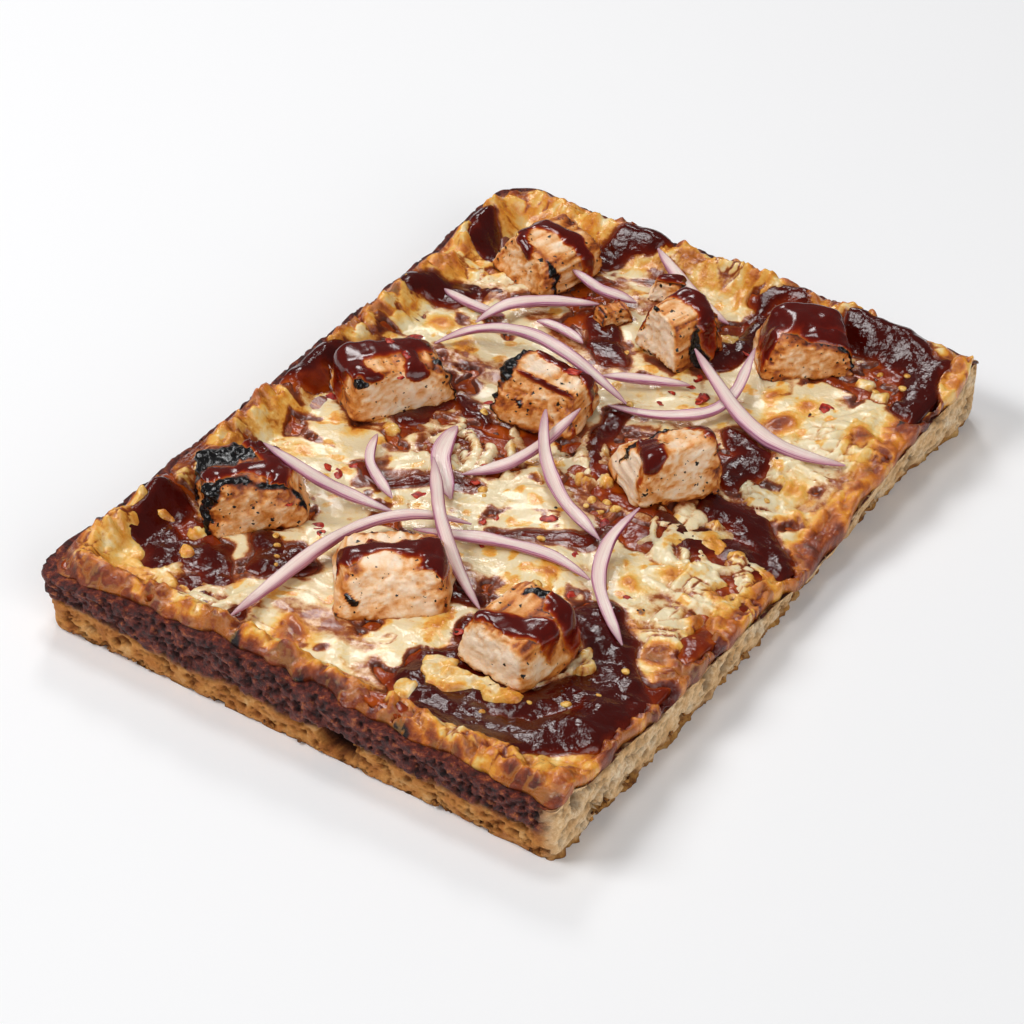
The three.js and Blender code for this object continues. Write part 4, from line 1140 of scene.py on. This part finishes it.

# Melted mozzarella: an oily cream sheet that scatters light, golden where oil blistered, brown and
# dry where it fried, amber to rust where a thin film of sauce lies on it, and the same film colour
# painted as shade into its creases and round the foot of each dice.
material, tree, shader = finish("melted_mozzarella")
place = add(tree, "ShaderNodeTexCoord").outputs["Object"]
toasted, smeared_and_shaded, is_fresh = (
    add(tree, "ShaderNodeAttribute", attribute_name=field).outputs["Fac"]
    for field in ("toast", "film_and_shade", "fresh")
)
cloud = add(
    tree, "ShaderNodeTexNoise",
    {"Vector": place, "Scale": 1 / (5.882 * MM), "Detail": 5.0, "Roughness": 0.6},
)
fine = add(
    tree, "ShaderNodeTexNoise",
    {"Vector": place, "Scale": 1 / (1.613 * MM), "Detail": 4.0, "Roughness": 0.65},
)
ragged = ragged_edge(tree, cloud, fine)
toast_at = add(tree, "ShaderNodeMath", [ragged, 0.55, toasted], operation="MULTIPLY_ADD")
film_and_shade_at = add(tree, "ShaderNodeMath", [ragged, 0.6, smeared_and_shaded], operation="MULTIPLY_ADD")
# From cream through amber to burnt, with the shreds that melted last left pale
cream = add(
    tree, "ShaderNodeValToRGB", {"Fac": toast_at},
    stops=[
        (0.0, "#ead7ae"), (0.08, "#ebd097"), (0.18, "#edbc62"), (0.3, "#e49832"), (0.44, "#c46a1c"),
        (0.6, "#8a3812"), (0.78, "#4a1a0e"), (0.95, "#170b0a"),
    ],
)
clean = add(tree, "ShaderNodeMapRange", [toast_at, 0.05, 0.2, is_fresh, 0.0])
cream = add(tree, "ShaderNodeMix", [clean, cream, "#f4e5c0"], data_type="RGBA")
# A film of sauce on it, amber where it is thin and dark red where it is thick, which in creases
# and round the foot of each dice is partly painted shade
stain_and_shade = add(
    tree, "ShaderNodeValToRGB", {"Fac": film_and_shade_at},
    stops=[
        (0.13, "#e4ac5c"), (0.24, "#c27424"), (0.38, "#8a380c"), (0.58, "#560f04"), (0.8, "#380503"),
    ],
)
cover = add(tree, "ShaderNodeMapRange", [film_and_shade_at, 0.1, 0.34, 0.0, 0.97])
whole = add(tree, "ShaderNodeMix", [cover, cream, stain_and_shade], data_type="RGBA")
# Oily where it is pale, drier and crisper where it fried
sheen = add(tree, "ShaderNodeMapRange", [toast_at, 0.2, 0.7, 0.2, 0.46])
wetness = add(tree, "ShaderNodeMix", [cover, sheen, 0.2], data_type="FLOAT")
crispness = add(tree, "ShaderNodeMapRange", [toast_at, 0.16, 0.5, 0.14, 0.62])
dimple = add(tree, "ShaderNodeBump", {"Height": fine, "Strength": crispness, "Distance": 1.1 * MM})
lumpy = add(
    tree, "ShaderNodeBump",
    {"Height": cloud, "Strength": 0.42, "Distance": 1.8 * MM, "Normal": dimple},
)
plug(shader, {
    "Base Color": whole, "Roughness": wetness, "IOR": 1.45, "Subsurface Weight": 0.15,
    "Subsurface Radius": (3 * MM, 1.8 * MM, 1 * MM), "Subsurface Scale": 1.0, "Coat Weight": 0.25,
    "Coat Roughness": 0.08, "Normal": lumpy,
})
cheese.data.materials.append(material)
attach(cheese, "root")
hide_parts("cheese")

# Red onion
# Thin half rings of raw red onion, scattered on after baking. Each is a curved strip of one onion
# layer: wet translucent white flesh with fine long veins, and magenta skin along one edge.

# Each strip: its half width, and its path with the height of its middle
ONIONS = [
    (2.1, [
        (-30, -102, 20), (-31, -80, 21), (-28, -60, 23), (-21, -46, 24.5), (-11, -35, 23.5),
        (0, -31, 21),
    ]),
    (2.0, [(-13, -41, 20), (-2, -37, 20), (7, -33, 20), (19, -30, 20), (30, -29, 20), (40, -32, 20)]),
    (2.9, [(-30, 5, 20), (-27, -8, 21), (-20, -17, 20), (-12, -24, 20)]),
    (2.0, [(-25, -14, 23), (-16, -25, 24), (-7, -37, 27), (1, -44, 24), (8, -50, 22), (22, -59, 20)]),
    (2.0, [(-61, -46, 33), (-46, -45, 27), (-34, -40, 21), (-22, -38, 20)]),
    (2.2, [(-5, 14, 31), (-2, 8, 27.5), (3, 2, 22), (14, -7, 20), (24, -12, 20), (33, -16, 20)]),
    (2.0, [(-16, -13, 20), (-9, -4, 20), (-5, 4, 21.5), (-2, 9, 24), (1, 14, 28.5), (3, 20, 31)]),
    (2.0, [(39, -5, 27), (37, -12, 24), (37, -19, 22), (41, -30, 20), (50, -40, 20), (62, -50, 20)]),
    (2.2, [
        (-59, 35, 20), (-55, 43, 21), (-44, 46, 25), (-29, 42, 31), (-15, 37, 34), (-2, 38, 28),
        (8, 37, 24),
    ]),
    (1.8, [(-73, 60, 20), (-62, 58, 20), (-50, 59, 20)]),
    (2.2, [(-55, 51, 20), (-52, 59, 22.5), (-46, 67, 22), (-38, 74, 21), (-29, 80, 20)]),
    (2.0, [(-42, 85, 25), (-36, 84, 23), (-29, 84, 21), (-20, 87, 20)]),
    (2.1, [(-26, 109, 22), (-12, 101, 23), (0, 94, 23), (10, 92, 21)]),
    (1.6, [(-7, 47, 22), (2, 54, 20), (16, 60, 20)]),
    (1.9, [
        (1, 38, 20), (12, 39, 20), (25, 45, 21), (30, 52, 21), (31, 61, 22), (28, 72, 23),
        (25, 82, 24),
    ]),
    (2.3, [(13, 67, 28), (25, 60, 25), (39, 52, 22), (56, 48, 20), (73, 52, 20)]),
    (1.6, [(-47, -11, 20), (-44, -20, 20), (-37, -27, 20), (-26, -33, 20)]),
    (1.8, [(-40, 62, 20), (-32, 63, 20), (-22, 60, 20)]),
]
# How thick a strip is, how far it stays over the cheese, and its width against the table
ONION_THICKNESS, ONION_CLEARANCE, ONION_SHRINK = 1.4, 1.1, 0.9
# How each strip's section bends, in turn: hollow, arched, slightly hollow
ARCHES = (-1.3, 0.9, -0.5)

# Raw red onion: wet, glassy and faintly lilac, white along the middle, with magenta at the skin
# edge and fine veins that run with the strip.
onion_flesh, tree, shader = finish("raw_red_onion")
across, along = (
    add(tree, "ShaderNodeAttribute", attribute_name=field).outputs["Fac"] for field in ("across", "along")
)
strip_at = add(tree, "ShaderNodeCombineXYZ", {"X": across, "Y": along})
stretched = add(tree, "ShaderNodeVectorMath", [strip_at, (26.0, 2.5, 1.0)], operation="MULTIPLY")
veins = add(tree, "ShaderNodeTexNoise", {"Vector": stretched, "Scale": 1.0, "Detail": 3.0})
# Shades across the strip, frayed by its veins, and magenta tips
vein_off = add(tree, "ShaderNodeMath", [veins, 0.5], operation="SUBTRACT")
tint = add(tree, "ShaderNodeMath", [vein_off, 0.75, across], operation="MULTIPLY_ADD")
lilac = add(
    tree, "ShaderNodeValToRGB", {"Fac": tint},
    stops=[
        (0.0, "#74203f"), (0.06, "#a65f80"), (0.13, "#d6a9b3"), (0.25, "#ecd3cb"), (0.42, "#f2e2d6"),
        (0.5, "#e4c3be"), (0.6, "#f0ded2"), (0.8, "#e0bcba"), (0.94, "#cb9caa"), (1.0, "#a2607f"),
    ],
)
from_middle = add(tree, "ShaderNodeMath", [along, 2.0, -1.0], operation="MULTIPLY_ADD")
to_tip = add(tree, "ShaderNodeMath", [from_middle], operation="ABSOLUTE")
tip_share = add(tree, "ShaderNodeMapRange", [to_tip, 0.7, 1.0, 0.0, 0.65])
tipped = add(tree, "ShaderNodeMix", [tip_share, lilac, "#a3617f"], data_type="RGBA")
fluted = add(tree, "ShaderNodeBump", {"Height": veins, "Strength": 0.35, "Distance": 0.5 * MM})
plug(shader, {
    "Base Color": tipped, "Roughness": 0.22, "IOR": 1.38, "Subsurface Weight": 0.3,
    "Subsurface Radius": (3 * MM, 2 * MM, 2 * MM), "Subsurface Scale": 1.0, "Normal": fluted,
})


def new_tree(name, inputs):
    """Geometry Nodes tree from geometry to geometry with named inputs, and its input node."""
    tree = bpy.data.node_groups.new(name, "GeometryNodeTree")
    for socket, kind in {"Geometry": "Geometry", **inputs}.items():
        tree.interface.new_socket(socket, in_out="INPUT", socket_type=f"NodeSocket{kind}")
    tree.interface.new_socket("Geometry", in_out="OUTPUT", socket_type="NodeSocketGeometry")
    return tree, add(tree, "NodeGroupInput")


onion_tree, given = new_tree("onion_strip", {"Half width": "Float", "Thickness": "Float", "Arch": "Float"})
tree = onion_tree
# The path, with each point's share of its length kept for the veins
path = add(tree, "GeometryNodeResampleCurve", {"Curve": given.outputs["Geometry"], "Count": 48})
upright = add(tree, "GeometryNodeSetCurveNormal", {"Curve": path}, mode="Z_UP")
run = add(tree, "GeometryNodeSplineParameter")
named = add(
    tree, "GeometryNodeStoreNamedAttribute",
    {"Geometry": upright, "Name": "along", "Value": run.outputs["Factor"]}, data_type="FLOAT",
    domain="POINT",
)
# Tapered to both tips, and a little uneven on the way
centred = add(tree, "ShaderNodeMath", [run.outputs["Factor"], 2.0, -1.0], operation="MULTIPLY_ADD")
outer = add(tree, "ShaderNodeMath", [centred], operation="ABSOLUTE")
bent = add(tree, "ShaderNodeMath", [outer, 3.4], operation="POWER")
tapered = add(tree, "ShaderNodeMath", [bent, -1.02, 1.16], operation="MULTIPLY_ADD")
strip_point = add(tree, "GeometryNodeInputPosition")
wavy = add(tree, "ShaderNodeTexNoise", {"Vector": strip_point, "Scale": 1 / (14.2857 * MM), "Detail": 1.0})
waver = add(tree, "ShaderNodeMapRange", [wavy, 0.3, 0.7, 0.84, 1.14])
narrow = add(tree, "ShaderNodeMath", [tapered, waver], operation="MULTIPLY")
# The section: a flat oval that the arch bends
hoop = add(tree, "GeometryNodeCurvePrimitiveCircle", {"Resolution": 18, "Radius": 1.0}, mode="RADIUS")
hoop_point = add(tree, "GeometryNodeInputPosition")
hoop_at = add(tree, "ShaderNodeSeparateXYZ", {"Vector": hoop_point})
hoop_x, hoop_y = hoop_at.outputs["X"], hoop_at.outputs["Y"]
half_thick = add(tree, "ShaderNodeMath", [given.outputs["Thickness"], 0.5], operation="MULTIPLY")
wide = add(tree, "ShaderNodeMath", [hoop_x, given.outputs["Half width"]], operation="MULTIPLY")
curved = add(tree, "ShaderNodeMath", [hoop_x, hoop_x], operation="MULTIPLY")
levelled = add(tree, "ShaderNodeMapRange", [hoop_y, -0.5, 0.5, -1.0, 1.0])
arched = add(tree, "ShaderNodeMath", [curved, given.outputs["Arch"], levelled], operation="MULTIPLY_ADD")
tall = add(tree, "ShaderNodeMath", [arched, half_thick], operation="MULTIPLY")
shifted = add(tree, "ShaderNodeCombineXYZ", {"X": wide, "Y": tall})
side = add(tree, "ShaderNodeMath", [hoop_x, 0.5, 0.5], operation="MULTIPLY_ADD")
hoop_named = add(
    tree, "GeometryNodeStoreNamedAttribute", {"Geometry": hoop, "Name": "across", "Value": side},
    data_type="FLOAT", domain="POINT",
)
profile = add(tree, "GeometryNodeSetPosition", {"Geometry": hoop_named, "Position": shifted})
# The section swept along the path
swept = add(
    tree, "GeometryNodeCurveToMesh",
    {"Curve": named, "Profile Curve": profile, "Scale": narrow, "Fill Caps": True},
)
real = add(tree, "GeometryNodeRealizeInstances", {"Geometry": swept})
dressed = add(tree, "GeometryNodeSetMaterial", {"Geometry": real, "Material": onion_flesh})
add(tree, "NodeGroupOutput", {"Geometry": dressed})


def grown(source, tree, name, **inputs):
    """Plain mesh object that a Geometry Nodes tree makes from a source object."""
    modifier = source.modifiers.new("grow", "NODES")
    modifier.node_group = tree
    for item in tree.interface.items_tree:
        if item.in_out == "INPUT" and item.name in inputs:
            modifier[item.identifier] = inputs[item.name]
    bpy.context.view_layer.update()
    result = source.evaluated_get(bpy.context.evaluated_depsgraph_get())
    mesh = bpy.data.meshes.new_from_object(result)
    source.modifiers.remove(modifier)
    bpy.data.objects.remove(source)
    mesh.name = name
    mesh.polygons.foreach_set("use_smooth", [True] * len(mesh.polygons))
    return placed(name, mesh)


for number, (half, path) in enumerate(ONIONS, 1):
    curve = bpy.data.curves.new("onion_path", "CURVE")
    curve.dimensions = "3D"
    spline = curve.splines.new("NURBS")
    spline.points.add(len(path) - 1)
    spline.use_endpoint_u = True
    spline.order_u = 3
    spline.resolution_u = 12
    for point, (px, py, pz) in zip(spline.points, path):
        ground = float(cheese_level(np.array(float(px)), np.array(float(py)))) + ONION_CLEARANCE
        point.co = (px * MM, py * MM, max(pz - 0.8, ground) * MM, 1)
    sizes = {"Half width": half * ONION_SHRINK * MM, "Thickness": ONION_THICKNESS * MM}
    strip = grown(
        placed("onion_path", curve), onion_tree, f"onion_strip_{number}",
        Arch=ARCHES[number % 3], **sizes,
    )
    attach(strip, "root")
    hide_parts(f"onion_{number}")

# Chili flakes, chili seeds, black pepper and crumbs
# Dried chili crushed to thin red flakes and round yellow seeds, coarse pepper, and the toasted
# crumbs that a knife leaves along the foot of the cut. All lie where they fell, no two alike.

# Where flakes and seeds lie in the middle of the slice
FLAKES = [
    (-45, -25), (-50, -30), (2, -22), (0, -26), (15, -14), (30, -24), (38, -38), (-37, -53), (12, 50),
    (21, 58), (15, 66), (-12, -12), (-47, -31), (12, 56), (21, 56), (-57, 22), (-68, 17), (15, 61),
    (-52, 12), (-49, 4), (-60, 14), (-22, -25), (36, 42), (-8, 33), (29, -7), (52, -31), (-70, -2),
    (-30, 22), (5, -33), (-16, 52),
]
SEEDS = [
    (-44, -64), (-36, -74), (28, -40), (68, -58), (55, -84), (-6, -16), (17, -28), (20, 0), (27, -4),
    (60, 96), (60, 30), (-60, 44), (-38, -71), (63, -79), (68, -71), (-8, -14), (18, -23), (20, -3),
    (24, -2), (68, 98), (24, 2), (28, 0), (33, -1), (-41, -67), (46, -93), (-28, 16), (-10, 66),
    (64, 86), (70, 92), (5, 44),
]
# Strewn at random: loose spots in all, how many of them hold a flake or a seed, and the crumbs along
# the foot of the cut and front walls
LOOSE, LOOSE_FLAKES, LOOSE_SEEDS = 34, 12, 6
CUT_CRUMBS, FRONT_CRUMBS = 110, 40

bits_tree, given = new_tree(
    "scattered_bits",
    {"Half size": "Vector", "Ragged": "Float", "Tilt": "Float", "Seed": "Int", "Material": "Material"},
)
tree = bits_tree
seeds = [
    add(tree, "ShaderNodeMath", [given.outputs["Seed"], k], operation="ADD") for k in (1.0, 2.0, 3.0, 4.0)
]
which = add(tree, "GeometryNodeInputIndex")
lean_x, lean_y, twist, growth = (
    add(tree, "FunctionNodeRandomValue", {"Min": -1.0, "Max": 1.0, "ID": which, "Seed": seed}).outputs[1]
    for seed in seeds
)
# Each bit is tipped, turned and sized at random
tip = add(tree, "ShaderNodeCombineXYZ", {"X": lean_x, "Y": lean_y, "Z": 0.0})
tipped = add(tree, "ShaderNodeVectorMath", [tip, given.outputs["Tilt"]], operation="SCALE")
spin = add(tree, "ShaderNodeMath", [twist, math.pi], operation="MULTIPLY")
spun = add(tree, "ShaderNodeCombineXYZ", {"Z": spin})
turned = add(tree, "ShaderNodeVectorMath", [tipped, spun], operation="ADD")
bigness = add(tree, "ShaderNodeMath", [growth, 0.35, 1.0], operation="MULTIPLY_ADD")
scale = add(tree, "ShaderNodeVectorMath", [given.outputs["Half size"], bigness], operation="SCALE")
bit = add(tree, "GeometryNodeMeshIcoSphere", {"Radius": 1.0, "Subdivisions": 2})
rotation = add(tree, "FunctionNodeEulerToRotation", {"Euler": turned})
strewn_bits = add(
    tree, "GeometryNodeInstanceOnPoints",
    {
        "Points": given.outputs["Geometry"], "Instance": bit.outputs["Mesh"], "Rotation": rotation,
        "Scale": scale,
    },
)
real = add(tree, "GeometryNodeRealizeInstances", {"Geometry": strewn_bits})
# Its surface is pushed about, so that no two bits are alike
bit_point = add(tree, "GeometryNodeInputPosition")
uneven = add(tree, "ShaderNodeTexNoise", {"Vector": bit_point, "Scale": 1 / (1.6129 * MM), "Detail": 1.0})
centre = add(
    tree, "ShaderNodeVectorMath", [uneven.outputs["Color"], (0.5, 0.5, 0.5)], operation="SUBTRACT",
)
moved = add(tree, "ShaderNodeVectorMath", [centre, given.outputs["Ragged"]], operation="SCALE")
shaped = add(tree, "GeometryNodeSetPosition", {"Geometry": real, "Offset": moved})
dressed = add(
    tree, "GeometryNodeSetMaterial", {"Geometry": shaped, "Material": given.outputs["Material"]},
)
add(tree, "NodeGroupOutput", {"Geometry": dressed})


def spread(name, places, material, half_size, ragged, tilt, seed, nodes):
    """One piece of many small bits at given places, each tipped and turned at random."""
    mesh = bpy.data.meshes.new(name)
    mesh.from_pydata([tuple(c * MM for c in place) for place in places], [], [])
    sizes = {"Half size": tuple(c * MM for c in half_size), "Ragged": ragged * MM}
    made = grown(placed(name, mesh), bits_tree, name, Tilt=tilt, Seed=seed, Material=material, **sizes)
    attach(made, "root")
    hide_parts(*nodes)


def resting(places, targets, sink):
    """Places on the highest surface under each x, y, sunk by some mm."""
    trees = []
    for target in targets:
        mesh = target.data
        corners, polygons = [v.co for v in mesh.vertices], [p.vertices for p in mesh.polygons]
        trees.append(BVHTree.FromPolygons(corners, polygons))
    found = []
    for px, py in places:
        hits = [t.ray_cast(Vector((px * MM, py * MM, 0.1)), Vector((0, 0, -1)))[0] for t in trees]
        tops = [hit.z for hit in hits if hit is not None]
        if tops:
            found.append((px, py, max(tops) / MM - sink))
    return found


def speckled(name, shades, size, roughness, see_through=0.0):
    """Finish of small dry bits: three shades from dark to bright, mottled at a size in mm."""
    material, tree, shader = finish(name)
    place = add(tree, "ShaderNodeTexCoord").outputs["Object"]
    mottle = add(tree, "ShaderNodeTexNoise", {"Vector": place, "Scale": 1 / (size * MM), "Detail": 3.0})
    tone = add(tree, "ShaderNodeValToRGB", {"Fac": mottle}, stops=list(zip((0.34, 0.5, 0.64), shades)))
    grit = add(tree, "ShaderNodeBump", {"Height": mottle, "Strength": 0.4, "Distance": 0.4 * MM})
    plug(shader, {
        "Base Color": tone, "Roughness": roughness, "Normal": grit, "IOR": 1.45,
        "Subsurface Weight": see_through, "Subsurface Radius": (1 * MM, 0.5 * MM, 0.3 * MM),
        "Subsurface Scale": 1.0,
    })
    return material


rng = np.random.default_rng(12)
under = [cheese, sauce, *dices]
loose = [(rng.uniform(-70, 66), rng.uniform(-90, 95)) for _ in range(LOOSE)]
for_seeds = loose[LOOSE_FLAKES : LOOSE_FLAKES + LOOSE_SEEDS]

# Crushed dried chili: brick red, slightly glossy where the skin shows
chili_skin = speckled("dried_chili", ("#640c07", "#a31c0d", "#c9452a"), 1.6, 0.36, 0.1)
spread(
    "chili_flakes", resting(FLAKES + loose[:LOOSE_FLAKES], under, 0.1), chili_skin,
    half_size=(2.3, 1.5, 0.28), ragged=1.9, tilt=0.35, seed=3, nodes=["cheese"],
)
# Chili seeds: smooth pale gold discs
seed_coat = speckled("chili_seed", ("#b8741f", "#dca548", "#efc877"), 1.2, 0.35, 0.2)
spread(
    "chili_seeds", resting(SEEDS + for_seeds, under, 0.05), seed_coat,
    half_size=(1.35, 1.05, 0.6), ragged=0.4, tilt=0.35, seed=5, nodes=["cheese"],
)
# Cracked black pepper and burnt specks: dry and nearly black, with paler broken grains
cracked_pepper = speckled("black_pepper", ("#120c0a", "#2b1c14", "#4a3324"), 0.8, 0.6)
spread(
    "pepper_specks", resting(loose + [(58, -33), (-62, -20), (77, 78), (57, -34)], under, 0.1),
    cracked_pepper, half_size=(0.55, 0.42, 0.36), ragged=0.6, tilt=1.0, seed=7,
    nodes=["cheese"],
)
# Toasted crumbs along the foot of the cut and front walls: dry, golden to nearly black
foot_spots = []
for _ in range(CUT_CRUMBS):
    along = rng.uniform(FRONT + 3, BACK - 3)
    foot_x = CUT - 1.6 - BOW * float(belly(along)) + rng.uniform(-0.4, 0.3)
    foot_spots.append((foot_x, along, rng.uniform(1.2, 3.2)))
for _ in range(FRONT_CRUMBS):
    foot_x = rng.uniform(LEFT + 5, CUT - 2)
    foot_spots.append((foot_x, FRONT + 0.4 + rng.uniform(-0.3, 0.3), rng.uniform(1.2, 2.2)))
dry_crumb = speckled("toasted_crumb", ("#452410", "#8f5a22", "#c58c48"), 1.8, 0.85)
spread(
    "toasted_crumbs", foot_spots, dry_crumb,
    half_size=(0.75, 0.6, 0.5), ragged=0.8, tilt=1.0, seed=9, nodes=["crust"],
)

# Floor, light and camera
# A matt sheet of pale studio paper under the slice, four softboxes round it and a weak white
# surround for soft shadows, and a long lens at the photograph's viewing angle.

# How far the paper reaches to each side, in metres
FLOOR_REACH = 3.0

# Paper: matt and almost white, with hardly any gloss
material, tree, shader = finish("pale_paper")
plug(shader, {"Base Color": "#f5f5f6", "Roughness": 0.9, "Specular IOR Level": 0.1})
mesh = bpy.data.meshes.new("floor")
plan_corners = [(-1, -1, 0), (1, -1, 0), (1, 1, 0), (-1, 1, 0)]
mesh.from_pydata([Vector(corner) * FLOOR_REACH for corner in plan_corners], [], [(0, 1, 2, 3)])
floor = placed("floor", mesh)
floor.data.materials.append(material)

# Camera: its place as seen from the slice in degrees and mm, the point it looks at, its sensor and
# lens in mm, and how far it sees in metres
CAMERA_TURN, CAMERA_RISE, CAMERA_AWAY = 34.0, 38.76, 932.0
CAMERA_AIM = Vector((-7.7, 0.6, 0.0))
SENSOR_WIDTH, FOCAL_LENGTH, VIEW_DEPTH = 36.0, 112.5, 20.0


def looking(turn, rise):
    """Direction from the slice towards a place round it, in degrees from -Y and above the floor."""
    turn, rise = math.radians(turn), math.radians(rise)
    return Vector((math.sin(turn) * math.cos(rise), -math.cos(turn) * math.cos(rise), math.sin(rise)))


lens = bpy.data.cameras.new("camera")
lens.sensor_width = SENSOR_WIDTH
lens.lens = FOCAL_LENGTH
lens.clip_end = VIEW_DEPTH
camera = placed("camera", lens)
toward = looking(CAMERA_TURN, CAMERA_RISE)
camera.location = (CAMERA_AIM + toward * CAMERA_AWAY) * MM
camera.rotation_euler = toward.to_track_quat("Z", "Y").to_euler()
bpy.context.scene.camera = camera

# Softboxes: name, turn and rise in degrees as seen from the slice, distance and size in metres, and
# power in watts
for name, turn, rise_angle, distance, size, power in (
    ("key_softbox", 305, 48, 1.5, 0.6, 12.1),
    ("top_softbox", 215, 78, 1.5, 0.35, 4.4),
    ("back_softbox", 219, 44, 1.5, 0.3, 4.2),
    ("front_fill", 62, 30, 1.8, 1.2, 13.0),
):
    light = bpy.data.lights.new(name, "AREA")
    light.shape = "SQUARE"
    light.size = size
    light.energy = power
    lamp = placed(name, light)
    way = looking(turn, rise_angle)
    lamp.location = way * distance
    lamp.rotation_euler = way.to_track_quat("Z", "Y").to_euler()

# The surround: weak, even and white
world = bpy.data.worlds.new("studio")
bpy.context.scene.world = world
world.use_nodes = True
plug(world.node_tree.nodes["Background"], {"Color": "#ffffff", "Strength": 0.14})
bpy.context.scene.view_settings.view_transform = "Standard"
